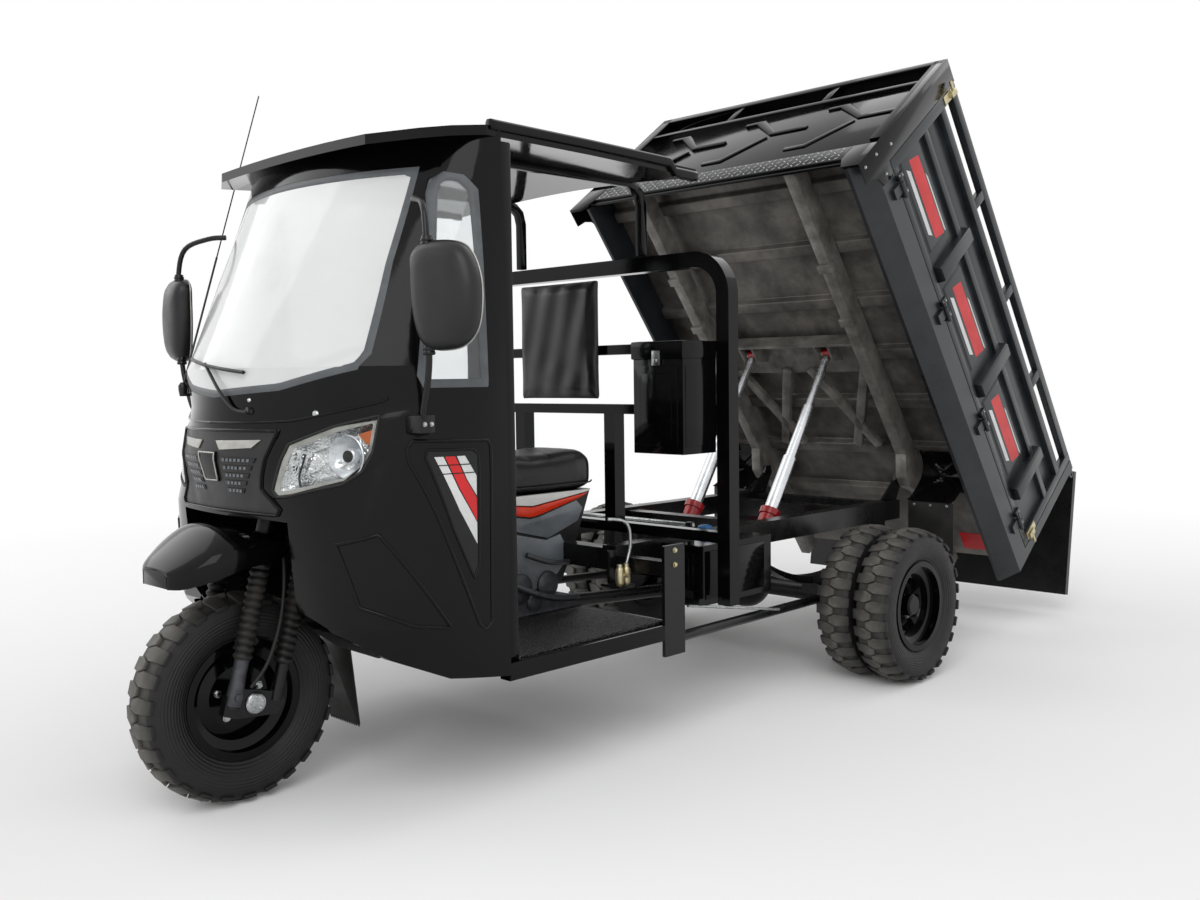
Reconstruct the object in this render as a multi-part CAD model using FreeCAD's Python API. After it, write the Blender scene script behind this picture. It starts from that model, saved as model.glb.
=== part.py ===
"""Cargo three-wheeler with an open cab, twin rear tyres and a tipping bed, in millimetres, +Z up, front towards -Y."""
import FreeCAD, Part
import math
import os
from FreeCAD import Vector

# wheels and stance
front_axle_y = -1840.5
portal_behind_axle = 1423.0
bed_front_gap = 22.0
bed_length = 2090.0
bed_rear_overhang = 1217.0
wheelbase = portal_behind_axle + bed_front_gap + bed_length - bed_rear_overhang
rear_axle_y = front_axle_y + wheelbase
tyre_radius = 288.0
tyre_width = 138.0
tread_width = 112.0
rim_seat_radius = 150.0
rim_flange_radius = 166.0
rim_inset = 16.0
axle_height = tyre_radius
twin_spacing = 155.0
twin_outer_face = 821.0
hub_radius = 42.0
drum_radius = 98.0
running_gap = 0.3

# steering
rake = 14.5
steer_limit = 38.0
steer_pivot_y = front_axle_y + 88.0
steer_pivot_z = 650.0
leg_spread = 105.0
leg_radius = 17.0
fork_bearing_gap = 0.5
stem_radius = 17.0
head_radius = 30.0
head_length = 170.0

# chassis
rail_half_gap = 330.0
rail_width = 60.0
rail_depth = 80.0
rail_top = 610.0
rail_front_y = front_axle_y + 1118.0
rail_rear_y = rear_axle_y + 575.0

# cab
cab_rear_y = front_axle_y + 484.0
cab_half_width = 604.0
cab_wall = 18.0
cab_floor_z = 385.0
cab_waist_z = 1185.0
window_top_z = 1720.0
cab_top_z = 1762.0
post_size = 42.0
board_depth = 48.0
board_half_width = cab_half_width - 4.0
board_rear_y = front_axle_y + 1174.0
arch_half_width = 282.0
arch_top_z = 790.0
glass_thickness = 6.0

# roof
roof_front_y = front_axle_y + 320.0
roof_rear_y = front_axle_y + 1300.0
roof_half_width = cab_half_width - 14.0
roof_edge_z = 1775.0
roof_crown = 48.0
roof_thickness = 26.0

# portal behind the seat
tube = 50.0
portal_half_width = 650.0
portal_rear_y = front_axle_y + portal_behind_axle
portal_top_z = 1553.0
portal_foot_z = 410.0
portal_bend = 120.0
upper_rail_z = 1245.0
lower_rail_z = 1040.0
inner_post_x = 121.0
outer_post_x = -347.0

# tipping bed, drawn lowered and then raised about its pivot
bed_tilt = 52.9
bed_pivot_behind_axle = 630.0
bed_pivot_y = rear_axle_y + bed_pivot_behind_axle
bed_pivot_z = 700.0
bed_rear_reach = bed_rear_overhang - bed_pivot_behind_axle
bed_half_width = 720.0
bed_keel_half_width = 640.0
bed_floor_height = 150.0
bed_height = 770.0
sill_top = 165.0
sheet = 5.0
floor_sheet = 6.0
rib_depth = 30.0
bed_rail_x = 385.0
bed_rail_width = 50.0
bed_rail_drop = 80.0
side_thickness = 30.0
side_hinge_out = 15.0
hinge_radius = 9.0
hinge_pin_radius = 4.0
hinge_count = 4
side_hinge_height = 170.0
side_fold_limit = 100.0
gate_pin_height = 745.0
gate_pin_in = 44.0
gate_thickness = 30.0
gate_pin_radius = 8.0
gate_pin_back = 20.0

# hoist
hoist_x = 195.0
hoist_pivot_y = rear_axle_y - 234.0
hoist_pivot_z = 401.0
hoist_eye_reach = -618.5
hoist_eye_height = 80.5
hoist_eye_radius = 20.0
hoist_eye_clearance = 8.0
barrel_collar = 250.0
barrel_radius = 35.0
stage_1_radius = 27.5
stage_2_radius = 22.0
rod_radius = 16.5
stage_gap = 0.5
stage_wall = 4.5
stage_step = 60.0
stage_overlap = 30.0

os.makedirs("parts", exist_ok=True)
nodes = {}


def v(x, y, z):
    return Vector(x, y, z)


def box(x0, x1, y0, y1, z0, z1):
    corner = v(min(x0, x1), min(y0, y1), min(z0, z1))
    return Part.makeBox(abs(x1 - x0), abs(y1 - y0), abs(z1 - z0), corner)


def rod(start, end, radius):
    return Part.makeCylinder(radius, (end - start).Length, start, end - start)


def pipe(start, end, radius, bore):
    return rod(start, end, radius).cut(rod(start, end, bore))


def polygon(points):
    return Part.makePolygon(points + [points[0]])


def prism_x(points, x0, x1):
    """Solid between x0 and x1 whose outline is a list of (y, z) pairs."""
    face = Part.Face(polygon([v(x0, y, z) for y, z in points]))
    return face.extrude(v(x1 - x0, 0, 0))


def prism_y(points, y0, y1):
    """Solid between y0 and y1 whose outline is a list of (x, z) pairs."""
    face = Part.Face(polygon([v(x, y0, z) for x, z in points]))
    return face.extrude(v(0, y1 - y0, 0))


def prism_z(points, z0, z1):
    """Solid between z0 and z1 whose outline is a list of (x, y) pairs."""
    face = Part.Face(polygon([v(x, y, z0) for x, y in points]))
    return face.extrude(v(0, 0, z1 - z0))


def square_bar(start, end, width, height, up):
    """Straight bar of rectangular section between two points."""
    along = (end - start).normalize()
    side = along.cross(up).normalize()
    lift = side.cross(along).normalize()
    half_side = side * (width / 2)
    half_lift = lift * (height / 2)
    corners = [start + half_side + half_lift, start - half_side + half_lift]
    corners += [start - half_side - half_lift, start + half_side - half_lift]
    return Part.Face(polygon(corners)).extrude(end - start)


def bent_bar(points, radius, section):
    """Bar swept along straight runs with an arc of one radius at each inner point."""
    edges = []
    last = points[0]
    for i in range(1, len(points) - 1):
        before = (points[i - 1] - points[i]).normalize()
        after = (points[i + 1] - points[i]).normalize()
        half_turn = (math.pi - before.getAngle(after)) / 2
        cut = radius * math.tan(half_turn)
        a = points[i] + before * cut
        b = points[i] + after * cut
        middle = (before + after).normalize()
        centre = points[i] + middle * (radius / math.cos(half_turn))
        m = centre - middle * radius
        edges.append(Part.LineSegment(last, a).toShape())
        edges.append(Part.Arc(a, m, b).toShape())
        last = b
    edges.append(Part.LineSegment(last, points[-1]).toShape())
    path = Part.Wire(edges)
    return path.makePipeShell([section(points[0], points[1] - points[0])], True, False)


def round_section(radius):
    def wire(at, along):
        return Part.Wire(Part.Circle(at, along, radius).toShape())
    return wire


def square_section(size, up):
    def wire(at, along):
        side = along.cross(up).normalize() * (size / 2)
        lift = side.cross(along).normalize() * (size / 2)
        return polygon([at + side + lift, at - side + lift, at - side - lift, at + side - lift])
    return wire


def mirrored(shape):
    return shape.mirror(v(0, 0, 0), v(1, 0, 0))


def both_sides(shape):
    return [shape, mirrored(shape)]


def join(shapes):
    whole = shapes[0]
    if len(shapes) > 1:
        whole = whole.fuse(shapes[1:])
    whole = whole.removeSplitter()
    return whole.Solids[0] if len(whole.Solids) == 1 else whole


def group(shapes):
    solids = []
    for shape in shapes:
        solids += shape.Solids
    return Part.Compound(solids)


def revolve_x(points, centre, sweep=360.0):
    """Ring about an X axis through centre; points are (x offset, radius) pairs."""
    ring = [v(centre.x + x, centre.y, centre.z + r) for x, r in points]
    return Part.Face(polygon(ring)).revolve(centre, v(1, 0, 0), sweep)


def turned(shape, at, axis, angle):
    copy = shape.copy()
    copy.rotate(at, axis, angle)
    return copy


def save(node, shape):
    nodes[node] = shape


# wheels
def tyre(x):
    half = tyre_width / 2
    tread = tread_width / 2
    bead = half - rim_inset + 8 + running_gap
    profile = [(-half, 205), (-half, 240), (-tread - 4, 268), (-tread, tyre_radius)]
    profile = [(8.5 - bead, rim_flange_radius + 1)] + profile
    profile = [(-half + rim_inset + 8, rim_seat_radius + running_gap), (-half + rim_inset + 8, rim_flange_radius + 1)] + profile[1:]
    profile += [(-x, r) for x, r in reversed(profile)]
    return revolve_x(profile, v(x, 0, 0))


def rim(x, dish):
    """Steel rim: a dropped barrel with rolled flanges and a dished disc; dish is the disc's offset."""
    half = tyre_width / 2 - rim_inset
    well = rim_seat_radius - 26
    outer = [(-half, rim_flange_radius), (-half + 5, rim_flange_radius), (-half + 7, rim_seat_radius)]
    outer += [(-half + 26, rim_seat_radius), (-half + 34, well), (half - 34, well), (half - 26, rim_seat_radius)]
    outer += [(half - 7, rim_seat_radius), (half - 5, rim_flange_radius), (half, rim_flange_radius)]
    inner = [(half, rim_seat_radius - 4), (half - 28, rim_seat_radius - 5), (half - 36, well - 5)]
    inner += [(-half + 36, well - 5), (-half + 28, rim_seat_radius - 5), (-half, rim_seat_radius - 4)]
    barrel = revolve_x(outer + inner, v(x, 0, 0))
    side = 1 if dish > 0 else -1
    disc_points = [(0, well - 4.5), (side * 6, well - 4.5), (dish + side * 3, 86), (dish + side * 3, hub_radius - 2)]
    disc_points += [(dish - side * 3, hub_radius - 2), (dish - side * 3, 86), (0, 100)]
    disc = revolve_x(disc_points, v(x, 0, 0))
    for k in range(5):
        angle = math.radians(72 * k)
        at = v(x + dish - 20, 64 * math.sin(angle), 64 * math.cos(angle))
        disc = disc.cut(Part.makeCylinder(7, 40, at, v(1, 0, 0)))
    return barrel.fuse(disc)


def lifted(shape, y):
    copy = shape.copy()
    copy.translate(v(0, y, axle_height))
    return copy


front_hub = revolve_x([(-52, 20.5), (-52, drum_radius), (-10, drum_radius), (-4, hub_radius), (40, hub_radius),
                       (46, 30), (46, 20.5)], v(0, 0, 0))
save("front_tyre", lifted(tyre(0), front_axle_y))
save("front_rim", lifted(rim(0, 14).fuse(front_hub).removeSplitter(), front_axle_y))

outer_x = twin_outer_face - tyre_width / 2
inner_x = outer_x - twin_spacing
rear_hub = revolve_x([(inner_x + 16, 0), (inner_x + 16, drum_radius), (inner_x + 42, drum_radius),
                      (inner_x + 48, hub_radius + 2), (outer_x - 24, hub_radius + 2), (outer_x - 24, hub_radius),
                      (outer_x + 22, hub_radius), (outer_x + 28, 34), (outer_x + 28, 0)], v(0, 0, 0))
twin_tyres = [tyre(inner_x), tyre(outer_x)]
twin_rims = [rim(inner_x, 30).fuse(rim(outer_x, -30)).fuse(rear_hub).removeSplitter()]
for side_name, flip in (("left", False), ("right", True)):
    tyres = [lifted(s, rear_axle_y) for s in twin_tyres]
    rims = [lifted(s, rear_axle_y) for s in twin_rims]
    if flip:
        tyres = [mirrored(s) for s in tyres]
        rims = [mirrored(s) for s in rims]
    save("tyres_" + side_name, group(tyres))
    save("rims_" + side_name, group(rims))

# fork, turning about the raked steering axis
steer_axis = v(0, math.sin(math.radians(rake)), math.cos(math.radians(rake)))
steer_point = v(0, steer_pivot_y, steer_pivot_z)
steer_fore = v(0, -steer_axis.z, steer_axis.y)


def on_fork(x, fore, up):
    """Point at x, ahead of the steering axis by fore and above the steering point by up, both along the rake."""
    return steer_point + v(x, 0, 0) + steer_fore * fore + steer_axis * up


axle_point = v(0, front_axle_y, axle_height)
axle_up = (axle_point - steer_point).dot(steer_axis)
axle_fore = (axle_point - steer_point).dot(steer_fore)
leg_fore = axle_fore + 62
leg_back = axle_fore - 62
fork_parts = []
for side in (-1, 1):
    x = side * leg_spread
    fork_parts.append(rod(on_fork(x, leg_fore, axle_up - 20), on_fork(x, leg_fore, 40), leg_radius))
    fork_parts.append(rod(on_fork(x, leg_back, axle_up + 10), on_fork(x, leg_back, 40), leg_radius))
    link = [(leg_fore + 24, axle_up - 40), (leg_fore + 24, axle_up + 10), (leg_fore - 20, axle_up + 34)]
    link += [(leg_back - 6, axle_up + 34), (leg_back - 26, axle_up + 10), (leg_back - 10, axle_up - 26)]
    link += [(leg_fore - 14, axle_up - 46)]
    outline = [on_fork(side * 84, fore, up) for fore, up in link]
    fork_parts.append(Part.Face(polygon(outline)).extrude(v(side * 26, 0, 0)))
corners = [on_fork(s * 135, leg_fore + 26, 30) for s in (-1, 1)]
corners += [on_fork(s * 135, leg_back - 26, 30) for s in (1, -1)]
fork_parts.append(Part.Face(polygon(corners)).extrude(steer_axis * 24))
fork_parts.append(rod(on_fork(0, 0, 50), on_fork(0, 0, 560), stem_radius))
for side in (-1, 1):
    fork_parts.append(rod(v(side * 57, front_axle_y, axle_height), v(side * 86, front_axle_y, axle_height), 14))
fork_parts.append(rod(v(-86, front_axle_y, axle_height), v(86, front_axle_y, axle_height), 20))
save("front_fork", join(fork_parts))

# handlebar
bar_up = 560.0
bar_points = [on_fork(-290, -140, bar_up + 40), on_fork(-180, -60, bar_up + 60), on_fork(-70, 0, bar_up)]
bar_points += [on_fork(70, 0, bar_up), on_fork(180, -60, bar_up + 60), on_fork(290, -140, bar_up + 40)]
bar = bent_bar(bar_points, 40, round_section(11))
clamp = rod(on_fork(0, 0, bar_up + 0.0), on_fork(0, 0, bar_up + 16), 30)
grips = [rod(on_fork(s * 276, -130, bar_up + 42.5), on_fork(s * 350, -184, bar_up + 29), 16) for s in (-1, 1)]
save("handlebar", join([bar, clamp] + grips).cut(nodes["front_fork"]))


# front fender: a beak-shaped cap over the tyre
def fender_section(y, half, edge_z, crown_z, wall):
    outer = Part.Arc(v(-half, y, edge_z), v(0, y, crown_z), v(half, y, edge_z)).toShape()
    inner = Part.Arc(v(half - wall, y, edge_z - 0.5), v(0, y, crown_z - wall), v(wall - half, y, edge_z - 0.5)).toShape()
    a = Part.LineSegment(v(half, y, edge_z), v(half - wall, y, edge_z - 0.5)).toShape()
    b = Part.LineSegment(v(wall - half, y, edge_z - 0.5), v(-half, y, edge_z)).toShape()
    return Part.Wire([outer, a, inner, b])


fender_rows = [(-225, 62, 648, 664), (-185, 118, 655, 715), (-110, 160, 672, 764), (-45, 184, 685, 778)]
fender_rows += [(20, 192, 692, 768), (80, 190, 692, 745), (165, 165, 680, 700)]
sections = [fender_section(front_axle_y + dy, half, edge, crown, 8.0) for dy, half, edge, crown in fender_rows]
fender = Part.makeLoft(sections, True, True)
head_clear = rod(on_fork(0, 0, 20), on_fork(0, 0, 300), head_radius + 6)
save("front_fender", fender.cut(head_clear).cut(nodes["front_fork"]))

# roof
def roof_section(dy, half, edge_z, crown, rise):
    y = roof_front_y + dy
    low = edge_z - roof_thickness
    edge_z += rise
    top = Part.Arc(v(-half, y, edge_z), v(0, y, edge_z + crown), v(half, y, edge_z)).toShape()
    under = Part.Arc(v(half, y, low), v(0, y, low + crown), v(-half, y, low)).toShape()
    a = Part.LineSegment(v(half, y, edge_z), v(half, y, low)).toShape()
    b = Part.LineSegment(v(-half, y, low), v(-half, y, edge_z)).toShape()
    return Part.Wire([top, a, under, b])


roof_rows = [(-110, 380, 1782, 8), (-40, 520, 1786, 22), (30, 560, 1796, 32), (120, roof_half_width, 1806, 36)]
roof_rows += [(500, roof_half_width, 1803, 30), (roof_rear_y - roof_front_y, roof_half_width - 8, 1796, 26)]
save("cab_roof", Part.makeLoft([roof_section(*row, 0) for row in roof_rows], True, True))
roof_above = Part.makeLoft([roof_section(*row, 150) for row in roof_rows], True, True)

# cab shell
cab_rows_half_width = 604.0
cab_rows = [
    (340, [(600, 0), (592, -120), (562, -235), (505, -315), (290, -372), (0, -392)]),
    (520, [(602, 0), (597, -130), (566, -270), (480, -390), (262, -452), (0, -466)]),
    (800, [(604, 0), (599, -140), (566, -285), (450, -412), (226, -484), (0, -503)]),
    (950, [(604, 0), (599, -140), (560, -265), (436, -378), (206, -503), (0, -540)]),
    (1080, [(603, 0), (597, -130), (554, -245), (446, -348), (216, -472), (0, -522)]),
    (1185, [(602, 0), (592, -120), (547, -235), (480, -338), (246, -462), (0, -507)]),
    (1450, [(600, 0), (586, -85), (554, -155), (474, -246), (240, -345), (0, -382)]),
    (1820, [(595, 0), (579, -30), (547, -70), (448, -118), (228, -192), (0, -218)]),
]


def cab_outline(half_points, z, inset, rear_shift):
    """Plan outline at height z, moved inward by inset and closed across the rear."""
    plan = [v(x * cab_half_width / cab_rows_half_width, cab_rear_y + dy, 0) for x, dy in half_points]
    plan += [v(-p.x, p.y, 0) for p in reversed(plan[:-1])]
    moved = []
    for i, p in enumerate(plan):
        a = plan[max(i - 1, 0)]
        b = plan[min(i + 1, len(plan) - 1)]
        normal = v(b.y - a.y, a.x - b.x, 0).normalize()
        moved.append(p + normal * inset)
    moved[0].y = cab_rear_y + rear_shift
    moved[-1].y = cab_rear_y + rear_shift
    for p in moved:
        p.z = z
    curve = Part.BSplineCurve()
    curve.interpolate(moved)
    front = curve.toShape()
    back = Part.LineSegment(moved[-1], moved[0]).toShape()
    return Part.Wire([front, back])


def cab_loft(inset, rear_shift, trim):
    rows = [(z, pts) for z, pts in cab_rows]
    rows[0] = (rows[0][0] - trim, rows[0][1])
    rows[-1] = (rows[-1][0] + trim, rows[-1][1])
    wires = [cab_outline(pts, z, inset, rear_shift) for z, pts in rows]
    return Part.makeLoft(wires, True, True)


cab_outer = cab_loft(0, 0, 0)
cab_inner = cab_loft(cab_wall, 60, 2)
shell = cab_outer.cut(cab_inner)

# wheel opening and the rising lower edge
arch = box(-arch_half_width, arch_half_width, front_axle_y - 400, cab_rear_y - 60, 200, arch_top_z)
skirt = [(100, 200), (100, 352), (0, 352), (-190, 378), (-330, 440), (-425, 510), (-480, 600), (-800, 640), (-800, 200)]
skirt_cut = prism_x([(cab_rear_y + dy, z) for dy, z in skirt], -800, 800)
shell = shell.cut(arch).cut(skirt_cut).cut(roof_above)

# openings cut through the shell
pane_points = [(-452, 1704), (452, 1704), (472, 1215), (452, 1176), (240, 1125), (0, 1108), (-240, 1125)]
pane_points += [(-452, 1176), (-472, 1215)]
pane_cut = prism_y(pane_points, front_axle_y - 500, cab_rear_y - 20)
light_points = [(-62, 1128), (-62, 1640), (-90, 1678), (-125, 1688), (-158, 1664), (-248, 1160), (-236, 1128)]
light_cut = prism_x([(cab_rear_y + dy, z) for dy, z in light_points], 480, 660)
lamp_points = [(205, 850), (190, 872), (222, 984), (330, 1020), (520, 1056), (505, 985), (430, 897), (300, 862)]
lamp_cut = prism_y(lamp_points, front_axle_y - 300, cab_rear_y - 150)
grille_points = [(-225, 1026), (225, 1026), (176, 870), (176, 822), (120, 806), (-120, 806), (-176, 822), (-176, 870)]
grille_cut = prism_y(grille_points, front_axle_y - 300, cab_rear_y - 300)

pane_shell = cab_loft(4, 60, 1).cut(cab_loft(4 + glass_thickness, 61, 2))
save("windshield", pane_shell.common(pane_cut).cut(roof_above))
save("quarter_windows", group(both_sides(pane_shell.common(light_cut))))
lamp_shell = cab_outer.cut(cab_loft(42, 60, 2))
save("headlamps", group(both_sides(lamp_shell.common(lamp_cut))))
save("grille", cab_loft(3, 60, 1).cut(cab_loft(15, 61, 2)).common(grille_cut))

for opening in [pane_cut, grille_cut] + both_sides(light_cut) + both_sides(lamp_cut):
    shell = shell.cut(opening)
nose_zone = box(-505, 505, front_axle_y - 400, cab_rear_y - 260, 200, 1150)
brow_zone = box(-505, 505, front_axle_y - 400, cab_rear_y - 30, 1150, 1900)
save("cab_nose", shell.common(nose_zone))
save("windshield_frame", shell.common(brow_zone))
rest = shell.cut(nose_zone).cut(brow_zone)
left_zone = box(0, 900, front_axle_y - 500, cab_rear_y + 100, 200, 1900)
save("cab_side_left", rest.common(left_zone))
save("cab_side_right", rest.common(mirrored(left_zone)))

# head tube, backbone, rails and cross members
head = pipe(on_fork(0, 0, 58), on_fork(0, 0, 58 + head_length), head_radius, stem_radius + fork_bearing_gap)
neck_low = v(0, cab_rear_y + 260, 445)
neck_end = v(0, rail_front_y + 30, rail_top - 45)
neck = square_bar(on_fork(0, -head_radius + 4, 130), neck_low, 70, 60, v(1, 0, 0))
spine = square_bar(neck_low + v(0, -30, 0), neck_end, 70, 60, v(1, 0, 0))
frame_parts = [head, neck, spine]
for side in (-1, 1):
    inner = side * rail_half_gap
    outer = side * (rail_half_gap + rail_width)
    frame_parts.append(box(inner, outer, rail_front_y, rail_rear_y, rail_top - rail_depth, rail_top))
    ear_low = bed_pivot_z - 30
    ear = [(rail_rear_y - 90, rail_top - 10), (bed_pivot_y - 30, ear_low + 20), (bed_pivot_y - 18, bed_pivot_z + 22)]
    ear += [(bed_pivot_y + 18, bed_pivot_z + 22), (bed_pivot_y + 28, ear_low + 20), (rail_rear_y, rail_top - 60)]
    ear += [(rail_rear_y - 90, rail_top - 60)]
    ear_x = side * (bed_rail_x - bed_rail_width / 2 - 6)
    frame_parts.append(prism_x(ear, ear_x - side * 14, ear_x))
    frame_parts.append(rod(v(ear_x - side * 14, bed_pivot_y, bed_pivot_z), v(side * (bed_rail_x + 20), bed_pivot_y, bed_pivot_z), 12))
for y in (rail_front_y, hoist_pivot_y - 150, rear_axle_y + 250, rail_rear_y - 62):
    frame_parts.append(box(-rail_half_gap, rail_half_gap, y, y + 60, rail_top - rail_depth, rail_top - 10))
hoist_bar_y = hoist_pivot_y - 100
hoist_bar = box(-rail_half_gap, rail_half_gap, hoist_bar_y, hoist_bar_y + 50, hoist_pivot_z - 30, hoist_pivot_z + 30)
frame_parts.append(hoist_bar)
for side in (-1, 1):
    drop_x = side * rail_half_gap
    frame_parts.append(box(drop_x - side * 20, drop_x, hoist_bar_y, hoist_bar_y + 50, hoist_pivot_z, rail_top - 10))
    for cheek in (-1, 1):
        x = side * hoist_x + cheek * (barrel_radius + 3)
        plate = [(hoist_bar_y + 45, hoist_pivot_z - 26), (hoist_bar_y + 45, hoist_pivot_z + 26)]
        plate += [(hoist_pivot_y + 10, hoist_pivot_z + 24), (hoist_pivot_y + 24, hoist_pivot_z), (hoist_pivot_y + 10, hoist_pivot_z - 24)]
        frame_parts.append(prism_x(plate, x, x + cheek * 8))
    pin_half = barrel_radius + 10
    frame_parts.append(rod(v(side * hoist_x - pin_half, hoist_pivot_y, hoist_pivot_z), v(side * hoist_x + pin_half, hoist_pivot_y, hoist_pivot_z), 12))
# outriggers and bracket posts that carry the running boards and the portal
bracket_y = board_rear_y - 56
for side in (-1, 1):
    plate_x = side * board_half_width
    frame_parts.append(box(side * (rail_half_gap + rail_width - 5), plate_x - side * 8, bracket_y, bracket_y + 45, rail_top - 75, rail_top - 30))
    frame_parts.append(box(plate_x - side * 12, plate_x, bracket_y - 5, bracket_y + 90, 285, rail_top + 20))
chassis_frame = join(frame_parts)
save("chassis_frame", chassis_frame)

# inner guard round the front wheel
guard_rear = cab_rear_y - 150
guard_points = [(-arch_half_width, 392), (-arch_half_width, arch_top_z), (arch_half_width, arch_top_z), (arch_half_width, 392)]
tub = box(-arch_half_width, arch_half_width, cab_rear_y - 460, guard_rear, cab_floor_z, arch_top_z)
tub = tub.cut(box(-arch_half_width + 6, arch_half_width - 6, cab_rear_y - 470, guard_rear - 6, cab_floor_z - 10, arch_top_z - 6))
head_hole = rod(on_fork(0, 0, 0), on_fork(0, 0, 300), head_radius + 4)
neck_hole = square_bar(on_fork(0, -head_radius + 4, 130), neck_low, 76, 66, v(1, 0, 0))
tub = tub.common(cab_inner).cut(skirt_cut).cut(head_hole).cut(neck_hole)
save("inner_guard", tub)

# cab posts, roof rails and drop tubes
frame_parts = []
for side in (-1, 1):
    x = side * (cab_half_width - 8 - post_size / 2)
    post = box(x - post_size / 2, x + post_size / 2, cab_rear_y + 1, cab_rear_y + 1 + post_size, cab_floor_z - board_depth + 6, roof_edge_z + 100)
    frame_parts.append(post)
    rail_x = side * 300
    roof_rail_z = roof_edge_z + 14
    points = [v(rail_x, cab_rear_y + 20, roof_rail_z), v(rail_x, portal_rear_y - tube / 2, roof_rail_z)]
    points += [v(rail_x, portal_rear_y - tube / 2, portal_top_z + 0.3)]
    frame_parts.append(bent_bar(points, 70, square_section(28, v(1, 0, 0))))
frame_parts.append(box(-cab_half_width + 8, cab_half_width - 8, cab_rear_y + 1, cab_rear_y + 1 + post_size, roof_edge_z - 42, roof_edge_z + 100))
save("cab_frame", join(frame_parts).cut(roof_above))

# portal: a square tube hoop across the vehicle with two rails and two short posts
portal_y = portal_rear_y - tube / 2
hoop_x = portal_half_width - tube / 2
hoop_points = [v(-hoop_x, portal_y, portal_foot_z), v(-hoop_x, portal_y, portal_top_z - tube / 2)]
hoop_points += [v(hoop_x, portal_y, portal_top_z - tube / 2), v(hoop_x, portal_y, portal_foot_z)]
portal_parts = [bent_bar(hoop_points, portal_bend, square_section(tube, v(0, 1, 0)))]
for z in (upper_rail_z, lower_rail_z):
    portal_parts.append(box(-hoop_x, hoop_x, portal_rear_y - tube, portal_rear_y - 10, z - 17, z + 17))
for x in (inner_post_x, outer_post_x):
    portal_parts.append(box(x - 25, x + 25, portal_rear_y - tube, portal_rear_y, rail_top + 1, lower_rail_z))
portal_parts.append(box(-hoop_x, hoop_x, portal_rear_y - tube + 5, portal_rear_y - 5, rail_top, rail_top + 35))
portal = join(portal_parts).cut(chassis_frame)
save("portal_frame", portal)

# floor and running boards
floor = box(25 - board_half_width, board_half_width - 25, cab_rear_y - 144, cab_rear_y - 4, cab_floor_z - 6, cab_floor_z)
board = box(-board_half_width, board_half_width, cab_rear_y - 4, board_rear_y, cab_floor_z - 6, cab_floor_z)
channels = []
for s in (-1, 1):
    edge = s * board_half_width
    channels.append(box(edge - s * 40, edge, cab_rear_y - 4, board_rear_y, cab_floor_z - board_depth, cab_floor_z))
floor_pan = join([floor, board] + channels)
floor_pan = floor_pan.cut(box(-165, 165, cab_rear_y + 200, board_rear_y + 10, 300, 400))
floor_pan = floor_pan.cut(nodes["cab_frame"]).cut(chassis_frame).cut(cab_outer.cut(cab_inner))
save("floor_pan", floor_pan)

# seat, backrest, toolbox and side boxes
seat_front_y = cab_rear_y + 330
seat_rear_y = cab_rear_y + 790
seat_body = prism_x([(seat_front_y - 60, 560), (seat_front_y - 20, 772), (seat_rear_y - 20, 772), (seat_rear_y - 90, 600),
                     (seat_rear_y - 160, 470), (seat_front_y + 60, 430), (seat_front_y - 30, 480)], -140, 140)
save("seat_body", seat_body.cut(chassis_frame))
engine_block = box(-150, 150, seat_front_y - 50, seat_front_y + 330, 290, 424).cut(chassis_frame)
save("engine_block", engine_block)
cushion = box(-165, 165, seat_front_y, seat_rear_y, 772.3, 912)
save("seat_cushion", cushion.makeFillet(35, [e for e in cushion.Edges if e.BoundBox.ZMax > 800]))
back_y = portal_rear_y - tube
back = box(-305, 100, back_y - 45.3, back_y - 0.3, 1070, 1495)
save("backrest", back.makeFillet(14, back.Edges))
save("toolbox", box(384, 602, back_y - 171, back_y - 0.3, 905, 1265))
side_box = box(rail_half_gap + rail_width, 550, portal_rear_y - 85, portal_rear_y + 310, 400, 598)
save("side_boxes", group([side_box, mirrored(side_box).cut(nodes["portal_frame"])]))

# rear axle, springs and driveline
axle_end = inner_x + 16 - running_gap
axle_shape = rod(v(-axle_end, rear_axle_y, axle_height), v(axle_end, rear_axle_y, axle_height), 38)
axle_shape = axle_shape.fuse(Part.makeSphere(105, v(0, rear_axle_y, axle_height)))
axle_shape = axle_shape.cut(box(-200, 200, rear_axle_y - 200, rear_axle_y + 200, 0, axle_height - 96))
spring_x = rail_half_gap + rail_width / 2
seat_z = axle_height + 38
for side in (-1, 1):
    axle_shape = axle_shape.fuse(box(side * (spring_x - 40), side * (spring_x + 40), rear_axle_y - 60, rear_axle_y + 60, axle_height, seat_z + 6))
save("rear_axle", axle_shape.removeSplitter())
springs = []
for side in (-1, 1):
    leaf_top = Part.Arc(v(side * (spring_x - 30), rear_axle_y - 430, 478), v(side * (spring_x - 30), rear_axle_y, seat_z + 36), v(side * (spring_x - 30), rear_axle_y + 430, 478)).toShape()
    leaf_low = Part.Arc(v(side * (spring_x - 30), rear_axle_y + 430, 470), v(side * (spring_x - 30), rear_axle_y, seat_z + 6.3), v(side * (spring_x - 30), rear_axle_y - 430, 470)).toShape()
    ends = [Part.LineSegment(leaf_top.Vertexes[-1].Point, leaf_low.Vertexes[0].Point).toShape(), Part.LineSegment(leaf_low.Vertexes[-1].Point, leaf_top.Vertexes[0].Point).toShape()]
    leaf = Part.Face(Part.Wire([leaf_top, ends[0], leaf_low, ends[1]])).extrude(v(side * 60, 0, 0))
    hangers = [box(side * (spring_x - 30), side * (spring_x + 30), rear_axle_y + dy - 22, rear_axle_y + dy + 22, 460, rail_top - rail_depth) for dy in (-430, 430)]
    springs.append(join([leaf] + hangers))
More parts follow.
